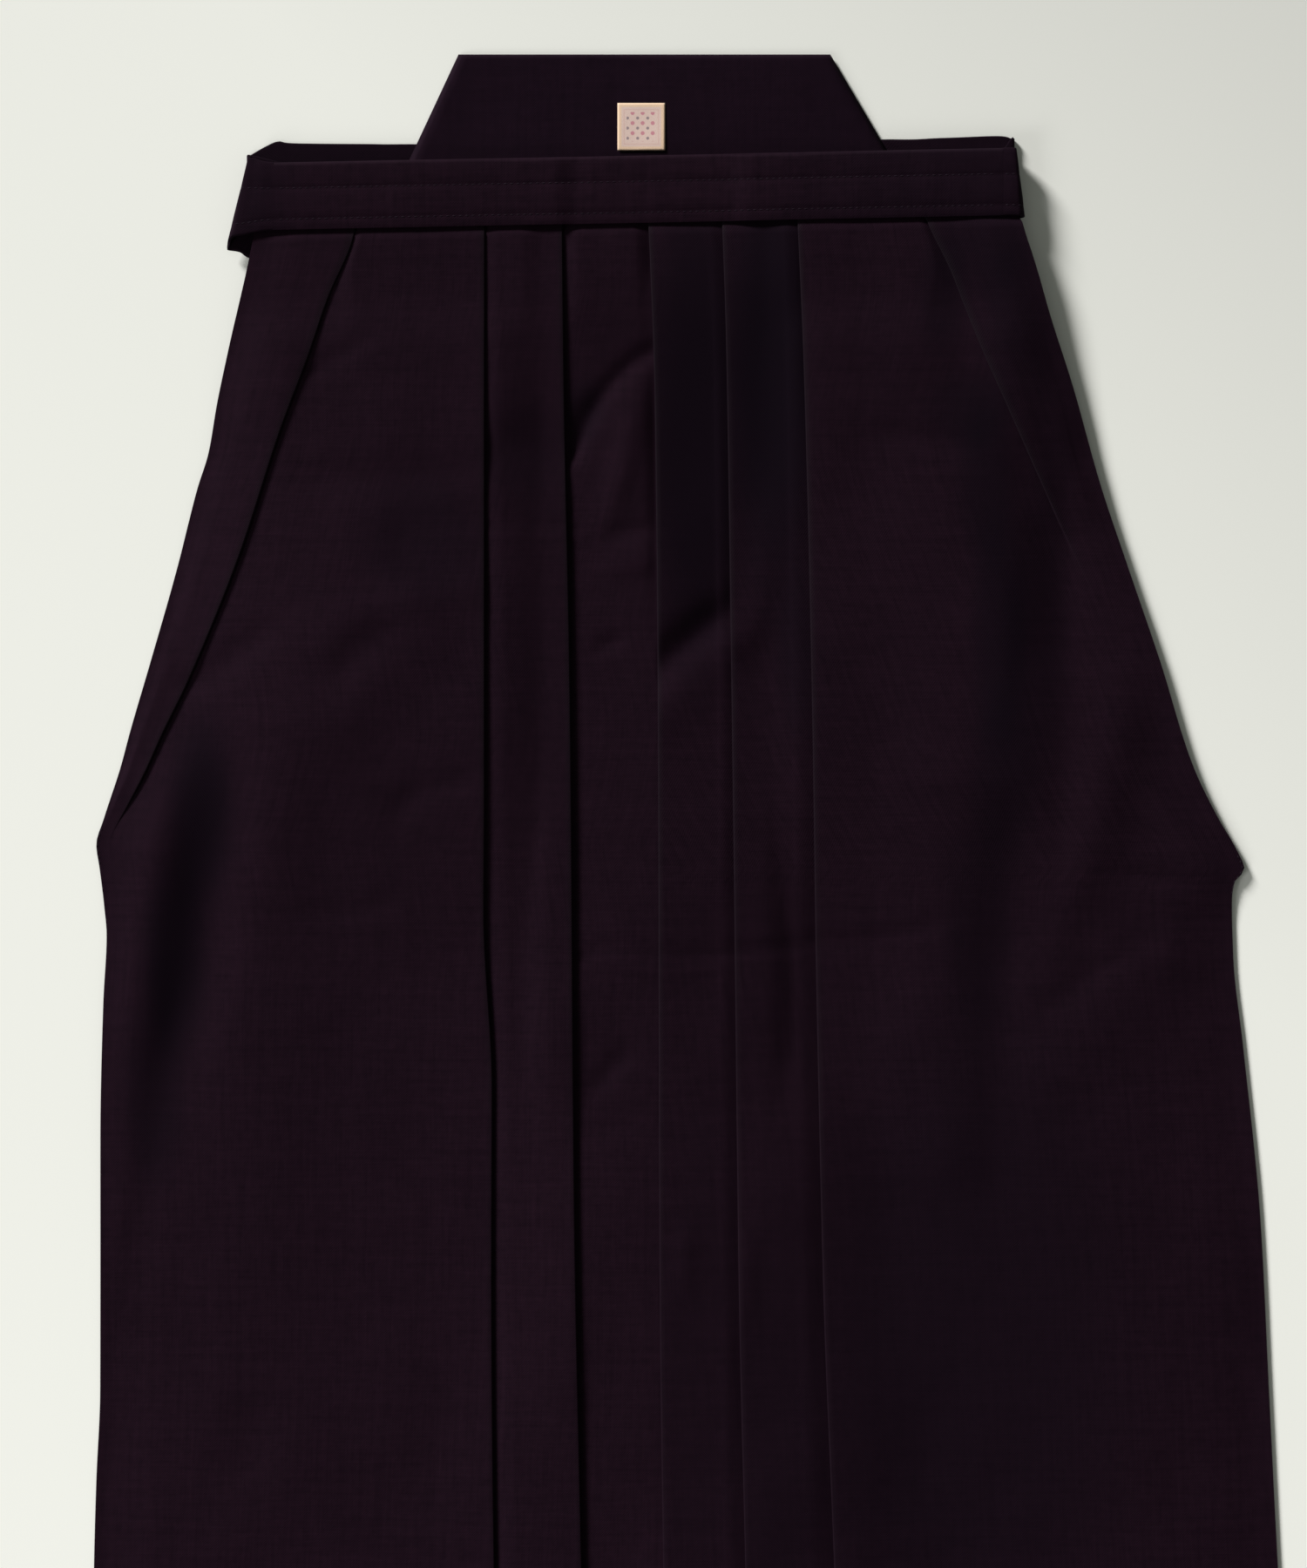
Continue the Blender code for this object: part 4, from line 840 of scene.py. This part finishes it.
def label_finish():
    """Pale satin weave in a peach selvedge, with a plain lattice of rose lozenges and dark knots."""
    lozenge = 0.0052         # from one woven lozenge to the next
    finish = Finish("label_weave", 0.55, 0.3, sheen=0.15)
    across, down = finish.cloth_plane()
    half = LABEL_SIZE / 2000
    out = (across - half).math("ABSOLUTE").math("MAXIMUM", (down - half).math("ABSOLUTE"))
    border = ((out - (half - 0.0021)) * 9000.0).clamp()
    line = (1.0 - ((out - (half - 0.0034)).math("ABSOLUTE") * 3000.0)).clamp()
    lattice = ((across + down) * (math.pi / lozenge)).sine() * ((across - down) * (math.pi / lozenge)).sine()
    lozenges = ((lattice - 0.55) * 5.0).clamp() * ((half - 0.0046 - out) * 6000.0).clamp()
    knots = ((-0.72 - lattice) * 7.0).clamp() * ((half - 0.0046 - out) * 6000.0).clamp()
    rib = (down * (math.pi / 0.00028)).sine() * (across * (math.pi / 0.0005)).sine()
    speck = finish.noise(across * 1800.0, down * 1500.0, 1.9)
    satin = (rib * 0.3 + speck * 0.35 + 0.5).clamp()
    ground = finish.mix(satin, (0.55, 0.40, 0.36, 1), (0.68, 0.52, 0.47, 1))
    framed = finish.mix((line * 0.5).clamp(), ground, (0.50, 0.26, 0.24, 1))
    framed = finish.mix(lozenges * 0.75, framed, (0.44, 0.12, 0.19, 1))
    framed = finish.mix(knots * 0.7, framed, (0.10, 0.08, 0.12, 1))
    cream = finish.mix((rib * 0.3 + speck * 0.4 + 0.5).clamp(), (0.62, 0.43, 0.30, 1), (0.74, 0.54, 0.40, 1))
    finish.feed(Base_Color=finish.mix(border, framed, cream))
    finish.relief(rib * 0.5 + speck * 0.3, 0.35, 0.0002)
    return finish.material


def floor_finish():
    """Smooth pale board, with painted shade darkening it towards the upper right."""
    finish = Finish("pale_board", 0.9, 0.1)
    where = finish.node("TexCoord", None, None, output=3)
    cloud = finish.node("TexNoise", None, {"Vector": where, "Scale": 1.3, "Detail": 2.0})
    across = finish.node("SeparateXYZ", None, {0: where})
    up = Signal(finish, across.socket.node.outputs[1])
    # painted shade: the board darkens towards the upper right
    painted_shade_corner = (across * 0.9 + up * 0.9 - 0.28).clamp() * 0.9
    pale = finish.mix(cloud, (0.775, 0.785, 0.755, 1), (0.81, 0.82, 0.79, 1))
    finish.feed(Base_Color=finish.mix(painted_shade_corner.clamp(), pale, (0.42, 0.42, 0.405, 1)))
    return finish.material


AUBERGINE = (0.0088, 0.0035, 0.0074)
# the paler colour of worn fold edges, which also serves as a painted highlight
WORN_AND_HIGHLIT = (0.0076, 0.0052, 0.0076, 1)
cloth = dark_cloth("aubergine_cloth", AUBERGINE, WORN_AND_HIGHLIT)
band_cloth = dark_cloth("aubergine_band_cloth", AUBERGINE, WORN_AND_HIGHLIT, yarn=0.00068, streaks=1.3)
board_cloth = dark_cloth("aubergine_board_cloth", (0.0074, 0.0031, 0.0070), WORN_AND_HIGHLIT, streaks=0.8)
thread = thread_finish()

# ---------------------------------------------------------------- the panels

# Down to this height, rows this far apart.
ROW_STEPS = ((330.0, 3.0), (560.0, 3.6), (760.0, 5.0), (LENGTH, 8.0))


def panel_rows(top):
    """Row heights from top to the hem, closer together where the cloth is creased most."""
    rows = [np.array([top])]
    for end, step in ROW_STEPS:
        rows.append(np.linspace(top, end, math.ceil((end - top) / step) + 1)[1:])
        top = end
    return np.concatenate(rows)


def flat_area(piece):
    """Half the surface of a closed thin shell, in square metres."""
    areas = np.empty(len(piece.data.polygons), dtype=np.float32)
    piece.data.polygons.foreach_get("area", areas)
    return float(areas.sum(dtype=np.float64)) / 2


def declare(piece, cut, **facts):
    """Work out the area a sheet's cut keeps of the rectangle it is cut from."""
    area = min(flat_area(piece), 0.999 * cut[0] * cut[1])


front_rows = panel_rows(FRONT_TOP)
front_right, right_lengths, right_faces = lay_panel(
    "front_right_cloth", front_rows,
    lambda v: front_section(v, RIGHT_EDGE, SIDE_PLEAT_RIGHT, RIGHT_OPENS, (FOLD_1, FOLD_2), 1, "seam"),
    ("R0", "R1", "R2", "L2"), BAND_TILT, cloth)
front_left, left_lengths, left_faces = lay_panel(
    "front_left_cloth", front_rows,
    lambda v: front_section(
        v, LEFT_EDGE, SIDE_PLEAT_LEFT, LEFT_OPENS, (FOLD_5, FOLD_4, FOLD_3), -1, "return"),
    ("L0", "L1", "L2"), BAND_TILT, cloth)
back_rows = np.concatenate([np.arange(BACK_TOP, 1020.0, 9.0), [BACK_HEM]])
back_right, back_right_lengths, _ = lay_panel(
    "back_right_cloth", back_rows,
    lambda v: back_section(v, RIGHT_EDGE, RIGHT_OPENING_END, 1), (), 0.0, cloth)
back_left, back_left_lengths, _ = lay_panel(
    "back_left_cloth", back_rows,
    lambda v: back_section(v, LEFT_EDGE, LEFT_OPENING_END, -1), (), 0.0, cloth)
gusset_rows = np.linspace(CROTCH, GUSSET_HEM, 40)
gusset_right, gusset_left = (
    lay_panel(f"gusset_{hand}_cloth", gusset_rows, lambda v: gusset_section(v, side), (), 0.0, cloth)[0]
    for hand, side in (("right", -1), ("left", 1)))

sewn = {"right": [], "left": []}
for hand, faces, opening in (
        ("right", right_faces, RIGHT_OPENING_END), ("left", left_faces, LEFT_OPENING_END)):
    row = int(np.argmin(np.abs(front_rows - HEM_ROW)))
    for number, strip in enumerate(faces):
        sewn[hand].append(stitches(f"front_{hand}_hem_row_{number}", strip[row], UP, HEM_STITCH, thread))
    row = int(np.argmin(np.abs(front_rows - opening)))
    tack = faces[0][row - 3:row + 4, 3]
    sewn[hand].append(stitches(f"front_{hand}_tack", tack, UP, TACK_STITCH, thread))

for piece, hand, lengths in ((front_right, "right", right_lengths), (front_left, "left", left_lengths)):
    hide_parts(f"front_{hand}_panel")
    declare(piece, (round(float(lengths[:, -1].max()) / 1000, 3), PANEL_CUT_LENGTH), held="laid",
            rests_on=[f"back_{hand}_cloth", f"gusset_{hand}_cloth"], with_pieces=sewn[hand])
for piece, hand, lengths in (
        (back_right, "right", back_right_lengths), (back_left, "left", back_left_lengths)):
    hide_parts(f"back_{hand}_panel")
    declare(piece, (round(float(lengths[:, -1].max()) / 1000, 3), PANEL_CUT_LENGTH), held="laid",
            rests_on=[], with_pieces=[])
for piece, node in ((gusset_right, "gusset_right"), (gusset_left, "gusset_left")):
    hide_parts(node)
    declare(piece, GUSSET_CUT, held="folded", rests_on=["back_right_cloth", "back_left_cloth"])

# ---------------------------------------------------------------- the waistband


def waist_levels(u):
    """Lowest and highest level of the front's lowest layer inside the band near each u."""
    reach = np.array((-18.0, -9.0, 0.0, 9.0, 18.0))
    near = u[:, None, None] + reach[None, :, None]
    levels = bed(near, np.array((54.0, 70.0, 88.0))[None, None, :] + 0.0 * near)
    return levels.min(axis=(1, 2)), levels.max(axis=(1, 2))


def band_height(highest):
    """Middle height of the band's front leg over the highest level of what it covers."""
    return highest + WAIST_STACK + GAP + BAND_CLOTH / 2


def padded_face(below_top):
    """Height of the band's face: a low arch between each two of its edges and stitched rows."""
    height = np.zeros(np.shape(below_top))
    arches = ((0.0, BAND_GROOVE, 0.5), (BAND_GROOVE, BAND_SEAM, 0.5), (BAND_SEAM, BAND_WIDTH, 0.25))
    for start, end, rise in arches:
        share = np.clip((below_top - start) / (end - start), 0.0, 1.0)
        height = height + rise * np.sqrt(np.clip(4 * share * (1 - share), 0.0, 1.0)) ** 1.2
    return height


def band_painted_shade(u):
    """How much painted shade darkens the band and its ties: more towards the viewer's right, and at the
    viewer's left end.
    """
    return 0.4 * smooth(u, 20.0, 150.0) + 0.4 * smooth(-u, 170.0, 205.0)


def settled(below_top):
    """How far the band's lower edge sinks towards the panels."""
    return 0.45 * smooth(below_top, BAND_SEAM - 4.0, BAND_WIDTH)


def band_face(u, below_top):
    """Middle of the band's front leg: over the highest of what it covers, rippled along its length."""
    ripple = 0.12 * np.sin(u / 7.3 + 1.4 * np.sin(u / 19.0)) + 0.07 * np.sin(u / 3.1 + 0.8 * np.sin(u / 11.0))
    ripple = ripple * smooth(np.minimum(u - BAND_RIGHT, BAND_LEFT - u), 1.0, 16.0)
    ease = np.sin(np.pi * np.clip(below_top / BAND_WIDTH, 0.0, 1.0))
    rise = padded_face(below_top) - settled(below_top) + 0.7 * ripple * ease
    return band_height(waist_levels(u)[1]) + rise


def waistband():
    """The band folds over the front's top edge: a padded front leg, a round top and a back leg."""
    u = np.linspace(BAND_RIGHT, BAND_LEFT, 240)
    lowest, highest = waist_levels(u)
    top = BAND_TOP + BAND_TILT * u
    back_z = lowest - GAP - BAND_CLOTH / 2
    roll = 0.75 * ((band_height(highest) - back_z) / 2)
    down = np.concatenate([
        np.linspace(BAND_WIDTH, BAND_SEAM, 7)[:-1], np.linspace(BAND_SEAM, BAND_GROOVE, 14)[:-1],
        np.linspace(BAND_GROOVE, 4.5, 10)])
    leg_v = top[:, None] + down
    leg_z = np.stack([band_face(u, np.full_like(u, d)) for d in down], axis=1)
    angle = np.linspace(0.0, np.pi, 16)[None, :]
    middle_v = (top + BAND_CLOTH / 2 + roll)[:, None]
    blend = (1 + np.cos(angle)) / 2
    start_z = leg_z[:, -1:]
    over_v = middle_v - roll[:, None] * np.sin(angle)
    over_z = back_z[:, None] + (start_z - back_z[:, None]) * blend
    back = np.linspace(0.0, 1.0, 9)[None, 1:]
    under_v = middle_v + (top[:, None] + BAND_WIDTH - 2 - middle_v) * back
    under_z = back_z[:, None] + 0.0 * under_v
    v = np.concatenate([leg_v, over_v, under_v], axis=1)
    z = np.concatenate([leg_z, over_z, under_z], axis=1)
    points = np.stack([u[:, None] + 0.0 * v, v, z], axis=-1)
    length = run_across(points[..., 1:])
    uv = np.stack([points[..., 0], length], axis=-1)
    wear_and_painted_light = 0.3 * np.exp(-np.abs(length - length[:, len(down) + 5:len(down) + 6]) / 2.0)
    # the second column is painted shade along the band
    wear_and_painted_light = np.stack([wear_and_painted_light, band_painted_shade(points[..., 0])], axis=-1)
    return cloth_shell("waistband", points, BAND_CLOTH, uv, wear_and_painted_light, band_cloth)


def band_row(below_top):
    """A dense line along the band's face at a distance below its top edge."""
    u = np.linspace(BAND_RIGHT + 2.0, BAND_LEFT - 2.0, 400)
    z = band_face(u, np.full_like(u, below_top)) + BAND_CLOTH / 2
    return np.stack([u, BAND_TOP + BAND_TILT * u + below_top, z], axis=-1)


band = waistband()
band_rows = [stitches(f"waistband_stitch_row_{i}", band_row(d), UP, BAND_STITCH, thread)
             for i, d in enumerate((BAND_GROOVE, BAND_SEAM))]
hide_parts("front_band")
declare(band, BAND_CUT, held="folded", rests_on=["front_right_cloth", "front_left_cloth"],
        with_pieces=band_rows)

# ---------------------------------------------------------------- the ties


def arc(centre_a, centre_z, radius, height, rows):
    """Stations round an end fold, radius wide and height half high: v, tilt, width, roll, padding."""
    return [(centre_a + radius * math.sin(math.radians(roll)), v,
             centre_z + height * math.cos(math.radians(roll)), tilt, width, TIE, roll, padding)
            for v, tilt, width, roll, padding in rows]


def flat(points, z, width, roll):
    """Stations of a single flat layer along points of a, v, tilt."""
    return [(a, v, z, tilt, width, TIE, roll, 0.0) for a, v, tilt in points]


def bundle(a, width, level, roll):
    """Stations of a tie that comes down as one layer and lies folded to and fro in a flat bundle."""
    middle = BUNDLE_FLOOR + BUNDLE_THICK / 2
    shape = ((BUNDLE_START - 18, level, TIE, 0.0), (BUNDLE_START, middle, 0.8 * BUNDLE_THICK, 0.0),
             (BUNDLE_START + 14, middle, BUNDLE_THICK, 0.0),
             ((BUNDLE_START + BUNDLE_END) / 2, middle, BUNDLE_THICK, 0.8),
             (BUNDLE_END - 8, middle, BUNDLE_THICK, 0.0), (BUNDLE_END, middle, 0.5 * BUNDLE_THICK, 3.0))
    return [(a, v, z, 90.0, width - narrower, thick, roll, 0.0) for v, z, thick, narrower in shape]


# A tie's face columns, below its upper edge: closer together at the stitched rows.
FACE_BELOW = np.array([
    1.0, 3.0, 5.5, 8.0, 10.5, 12.5, 13.5, 14.5, 17.0, 20.0, 23.0, 26.0, 28.5, 29.5, 30.5, 32.5, 34.0])
STITCHED = (6, 13)           # the columns of those rows


def tie(name, stations, sign, painted_shade, finish):
    """Carry a flat layered strip through stations: a, v, z, tilt, width, thickness, roll, padding.

    a is the distance out from the centre line, tilt turns the strip's cross line in plan with its
    lower end outward, and roll carries the strip round a fold: 0 faces up, 90 out, 180 down.
    Padding raises the band's arches on it, and its edges show their layers where it is thick.
    Returns the piece, its length, and its outer face with that face's direction.
    """
    rows = spline(stations, 6)
    a, v, z, tilt, width, thickness, roll, padding = rows.T
    lean, spin = np.radians(tilt), np.radians(roll)
    zero = 0.0 * a
    across = np.stack([np.sin(lean), np.cos(lean), zero], axis=-1)
    outward = np.stack([np.cos(lean), -np.sin(lean), zero], axis=-1)
    facing = np.cos(spin)[:, None] * np.array(UP) + np.sin(spin)[:, None] * outward
    face = 0.5 - FACE_BELOW / BAND_WIDTH
    arches = padded_face(FACE_BELOW)
    edge = np.linspace(1.0, -1.0, 13)
    layered = 0.25 * (1 - np.cos(edge * np.pi * 3)) + 0.35 * edge ** 6
    side_w = np.concatenate([face[::-1], np.full(13, 0.5), face, np.full(13, -0.5)])
    side_d = np.concatenate([1 + 0 * face, edge, -1 + 0 * face, -edge])
    raised = np.concatenate([arches[::-1], 0 * edge, arches, 0 * edge]) - settled(BAND_WIDTH * (0.5 - side_w))
    draw = np.concatenate([0 * face, layered, 0 * face, layered])
    thick_share = np.minimum(1.0, (thickness / 4.0) ** 2 + 0.12)[:, None]
    w = side_w[None, :] * width[:, None] - np.sign(side_w)[None, :] * draw[None, :] * thick_share
    d = side_d[None, :] * thickness[:, None] / 2 + raised[None, :] * np.clip(padding, 0.0, 1.0)[:, None]
    middle = np.stack([a, v, z], axis=-1)
    ring = middle[:, None, :] + d[..., None] * facing[:, None, :] - w[..., None] * across[:, None, :]
    ring[..., 0] *= sign
    facing = facing * (sign, 1.0, 1.0)
    ring, facing, a = tighten(ring, 0, 0.03), tighten(facing, 0, 0.03), tighten(a, 0, 0.03)
    outer = ring[:, :len(face)][:, ::-1]
    run = run_across(middle[None])[0]
    uv = tighten(np.stack([run[:, None] + 0.0 * w, w + 0.6 * d], axis=-1), 0, 0.03)
    # painted shade over the tie, no lighter than the band's
    darker = np.maximum(painted_shade, band_painted_shade(sign * a))[:, None] + 0.0 * side_w
    wear_and_painted_light = np.stack([0.12 * (np.abs(side_w) > 0.49) + 0.0 * darker, darker], axis=-1)
    ring, uv, wear_and_painted_light = (np.roll(x, -6 - len(face), axis=1)[:, ::-1] for x in (ring, uv, wear_and_painted_light))
    piece = add_piece(name, ring.reshape(-1, 3), ring_faces(len(a), ring.shape[1]), finish,
                      uv.reshape(-1, 2), wear_and_painted_light.reshape(-1, 2))
    return piece, float(run[-1]), outer, facing


def front_tie_stations(end, out, fold, rounding, under):
    """From the band's end out, back under round an upright or slanting fold, and down to its bundle.

    out holds a, v, how far below the band's face, tilt, width, thickness, roll and padding; fold
    its centre and radius; rounding the rows of its arc; and under each path with its width.
    """
    top = band_height(float(waist_levels(np.array([end]))[1][0]))
    half = (top - FRONT_TIE_Z) / 2
    fold_a, radius = fold
    rows = [(a, v, top - below, *rest) for a, v, below, *rest in out]
    rows += arc(fold_a, FRONT_TIE_Z + half, radius, half, rounding)
    for path, width in under:
        rows += flat(path, FRONT_TIE_Z, width, 180.0)
    return rows + bundle(FRONT_BUNDLE_A, FRONT_TIE_WIDTH, FRONT_TIE_Z, 180.0)


def back_tie_stations(out, fold, width, path):
    """From the board's slanting side out along the waist, folded over inwards and down to its bundle."""
    rows = [(a, v, BACK_TIE_FOOT, tilt, across, TIE, 180.0, 0.0) for a, v, tilt, across in out]
    fold_a, fold_v, fold_width = fold
    radius = (BACK_TIE_Z - BACK_TIE_FOOT) / 2
    rows += arc(fold_a - TIE / 2 - radius, BACK_TIE_FOOT + radius, radius, radius,
                [(fold_v, 0.0, fold_width, roll, 0.0) for roll in (180.0, 135.0, 90.0, 45.0, 0.0)])
    rows += flat(path, BACK_TIE_Z, width, 0.0)
    return rows + bundle(BACK_BUNDLE_A, width, BACK_TIE_Z, 0.0)


FRONT_RIGHT_STATIONS = front_tie_stations(
    BAND_RIGHT,
    ((196.05, 73.65, 0.0, 0.0, BAND_WIDTH, BAND_CLOTH, 0.0, 1.0),
     (202.0, 73.7, 0.1, 3.0, 36.2, 1.1, 2.0, 0.9), (207.5, 73.9, 0.5, 8.0, 39.4, 1.3, 14.0, 0.7)),
    (210.3, 2.9),
    ((74.0, 11.5, 41.5, 38.0, 0.5), (74.0, 13.0, 43.5, 62.0, 0.3), (74.4, 14.4, 44.4, 90.0, 0.2),
     (77.0, 17.5, 45.0, 125.0, 0.0), (79.8, 22.5, 44.0, 155.0, 0.0), (81.6, 25.5, 43.0, 180.0, 0.0)),
    (([(203.5, 84.5, 30.0), (198.0, 88.0, 33.0)], 40.5),
     ([(190.0, 92.0, 35.0), (165.0, 107.4, 36.0)] + FRONT_BEND_RIGHT, FRONT_TIE_WIDTH)))
FRONT_LEFT_STATIONS = front_tie_stations(
    BAND_LEFT,
    ((180.05, 66.1, 0.0, 0.0, BAND_WIDTH, BAND_CLOTH, 0.0, 1.0),
     (184.6, 66.1, 0.1, 1.5, BAND_WIDTH, 1.4, 3.0, 1.0)),
    (186.5, 2.0),
    ((66.2, 4.2, 35.0, 28.0, 0.8), (66.4, 6.2, 35.3, 58.0, 0.5), (66.6, 7.6, 35.5, 90.0, 0.3),
     (66.8, 8.2, 35.3, 125.0, 0.0), (67.0, 8.7, 35.0, 155.0, 0.0), (67.2, 9.0, 35.0, 180.0, 0.0)),
    (([(180.0, 68.0, 9.0), (165.0, 70.2, 9.0)] + FRONT_BEND_LEFT, FRONT_TIE_WIDTH),))
BACK_RIGHT_STATIONS = back_tie_stations(
    ((127.6, 62.2, 25.0, 36.0), (141.0, 62.2, 12.0, 33.4), (152.0, 62.2, 0.0, 33.0), (186.0, 62.0, 0.0, 33.3),
     (194.0, 61.4, 0.0, 34.0), (201.0, 63.5, 0.0, 32.4)),
    (210.2, 67.0, 30.8), BACK_TIE_WIDTH, [(200.0, 70.5, 12.0), (192.0, 72.6, 12.0)] + BACK_BEND_RIGHT)
BACK_LEFT_STATIONS = back_tie_stations(
    ((125.2, 61.3, 30.0, 41.2), (139.0, 60.9, 15.0, 36.4), (152.0, 60.5, 0.0, 36.0),
     (178.0, 59.6, 0.0, 36.0)),
    (186.6, 60.6, 35.4), BACK_TIE_WIDTH_LEFT, BACK_BEND_LEFT)

# each tie's last number is painted shade over all of it
for node, stations, sign, width, painted_shade in (
        ("front_tie_right", FRONT_RIGHT_STATIONS, -1, FRONT_TIE_WIDTH, 0.0),
        ("front_tie_left", FRONT_LEFT_STATIONS, 1, FRONT_TIE_WIDTH, 0.0),
        ("back_tie_right", BACK_RIGHT_STATIONS, -1, BACK_TIE_WIDTH, 0.55),
        ("back_tie_left", BACK_LEFT_STATIONS, 1, BACK_TIE_WIDTH_LEFT, 0.45)):
    piece, run, outer, facing = tie(node + "_cloth", stations, sign, painted_shade, band_cloth)
    rows = []
    if node.startswith("front"):
        last = 24            # the row where the tie has gone under
        for number, column in enumerate(STITCHED):
            rows.append(stitches(
                f"{node}_stitch_row_{number}", outer[:last, column], facing[:last], BAND_STITCH, thread))
    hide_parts(node)
    for part in [piece] + rows:
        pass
    round(width * TIE_EDGES / 1000, 4)
    round(run / 1000, 3)
    "back_right_cloth" if sign < 0 else "back_left_cloth"

# ---------------------------------------------------------------- the stiff board and its label


def slab(name, corners, floor, thickness, edge, swell, finish, count=64):
    """A four-cornered plate: top and bottom grids that share one edge and are rounded towards it.

    The height over the middle plane is half the thickness times the root of 1 less the 2.4th power
    of how far a point has come into the rounded margin, plus a slow swell of the cover.
    """
    turned = np.pi * np.linspace(0.0, 1.0, count)
    share = 0.5 - 0.5 * np.cos(turned) * (1 - 0.55 * np.sin(turned))
    s, t = np.meshgrid(share, share)
    (a, b, c, d) = (np.array(x, float) for x in corners)
    plan = ((1 - s) * (1 - t))[..., None] * a + (s * (1 - t))[..., None] * b + (s * t)[..., None] * c
    plan = plan + ((1 - s) * t)[..., None] * d
    inward = np.full(s.shape, 1e9)
    for p, q in ((a, b), (b, c), (c, d), (d, a)):
        along_edge = (q - p) / np.linalg.norm(q - p)
        apart = np.abs((plan[..., 0] - p[0]) * along_edge[1] - (plan[..., 1] - p[1]) * along_edge[0])
        inward = np.minimum(inward, apart)
    margin = np.clip(1 - inward / edge, 0.0, 1.0)
    half = thickness / 2 * np.sqrt(1 - margin ** 2.4)
    lump = swell(plan[..., 0], plan[..., 1]) * (1 - margin)
    top = np.concatenate([plan, (floor + thickness / 2 + half + lump)[..., None]], axis=-1)
    under = np.concatenate([plan, (floor + thickness / 2 - half)[..., None]], axis=-1)
    index = np.arange(count * count).reshape(count, count)
    inner = np.zeros((count, count), bool)
    inner[1:-1, 1:-1] = True
    below = index.copy()
    below[inner] = count * count + np.arange(inner.sum())
    quads = [np.stack([g[:-1, :-1], g[:-1, 1:], g[1:, 1:], g[1:, :-1]], axis=-1).reshape(-1, 4)
             for g in (index, below[::-1])]
    points = np.vstack([top.reshape(-1, 3), under[inner]])
    uv = points[:, :2] - plan[0, 0]
    wear_and_painted_light = np.concatenate([margin.ravel(), margin[inner]])[:, None] ** 3 * 0.3
    return add_piece(name, points, np.vstack(quads), finish, uv, wear_and_painted_light)


def board_swell(u, v):
    """The cover lies a little loose on the stiffener, in slow uneven waves, and flatter under the band."""
    waves = 0.22 * np.sin(u / 31.0 + v / 23.0) + 0.14 * np.sin(u / 12.0 - v / 37.0 + 1.0)
    return (waves + 0.1 * np.sin(v / 9.0)) * (1 - 0.7 * smooth(v, 52.0, 68.0))


def label_swell(u, v):
    """The label lies in very low waves."""
    return 0.12 * np.sin(u / 5.0 + 1.0) * np.sin(v / 6.0)


board_corners = ((BOARD_TOP_RIGHT, -0.5), (BOARD_TOP_LEFT, -0.5),
                 (BOARD_FOOT_LEFT, BOARD_HEIGHT), (BOARD_FOOT_RIGHT, BOARD_HEIGHT))
board = slab("koshi_ita_cover", board_corners, 0.0, BOARD, 2.6, board_swell, board_cloth)
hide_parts("koshi_ita")

half = LABEL_SIZE / 2
label_u, label_v = LABEL_CENTRE
label_corners = ((label_u - half, label_v - half), (label_u + half, label_v - half),
                 (label_u + half, label_v + half), (label_u - half, label_v + half))
label = slab("label_patch", label_corners, BOARD + 0.4, 0.6, 0.4, label_swell, label_finish(), 40)
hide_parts("label")

# ---------------------------------------------------------------- floor, lights and camera


def put_in(name, data):
    """Make an object of data and link it to the scene."""
    made = bpy.data.objects.new(name, data)
    bpy.context.scene.collection.objects.link(made)
    return made


def add_floor():
    """A pale board under the garment, level with its lowest points."""
    mesh = bpy.data.meshes.new("floor")
    mesh.from_pydata([(-6, -6, 0), (6, -6, 0), (6, 6, 0), (-6, 6, 0)], [], [(0, 1, 2, 3)])
    mesh.materials.append(floor_finish())
    put_in("floor", mesh)


def add_area_light(name, place, aim, width, height, power, colour):
    """A soft rectangular light at place, pointed at aim."""
    lamp = bpy.data.lights.new(name, "AREA")
    lamp.shape, lamp.size, lamp.size_y, lamp.energy, lamp.color = "RECTANGLE", width, height, power, colour
    made = put_in(name, lamp)
    made.location = place
    made.rotation_mode = "QUATERNION"
    made.rotation_quaternion = (Vector(aim) - Vector(place)).to_track_quat("-Z", "Y")


def add_distant_light(name, towards, spread, strength, colour):
    """A far soft light whose rays come from one direction; spread is its width as seen, in radians."""
    lamp = bpy.data.lights.new(name, "SUN")
    lamp.angle, lamp.energy, lamp.color = spread, strength, colour
    made = put_in(name, lamp)
    made.rotation_mode = "QUATERNION"
    made.rotation_quaternion = Vector(towards).to_track_quat("Z", "Y")


def add_world(colour, strength):
    """An even pale surround."""
    world = bpy.data.worlds.new("surround")
    world.use_nodes = True
    background = world.node_tree.nodes["Background"]
    background.inputs["Color"].default_value = colour
    background.inputs["Strength"].default_value = strength
    bpy.context.scene.world = world


def add_camera():
    """Looks straight down from 3 m at a frame 675 mm wide and 810 mm high."""
    lens = bpy.data.cameras.new("camera")
    lens.sensor_width = 36.0
    lens.lens = 36.0 * 2.996 / 0.810
    camera = put_in("camera", lens)
    camera.location = (-0.0235, 0.13885, 3.0)
    bpy.context.scene.camera = camera


add_floor()
add_distant_light("key", (-0.608, 0.724, 0.326), 0.24, 7.0, (1.0, 0.985, 0.955))
add_area_light("fill", (-2.2, -1.4, 1.7), (0.0, 0.0, 0.0), 1.2, 1.2, 27.0, (1.0, 0.99, 0.98))
add_world((0.955, 1.0, 0.90, 1), 0.18)
add_camera()
bpy.context.scene.view_settings.view_transform = "Standard"
bpy.context.scene.view_settings.look = "None"
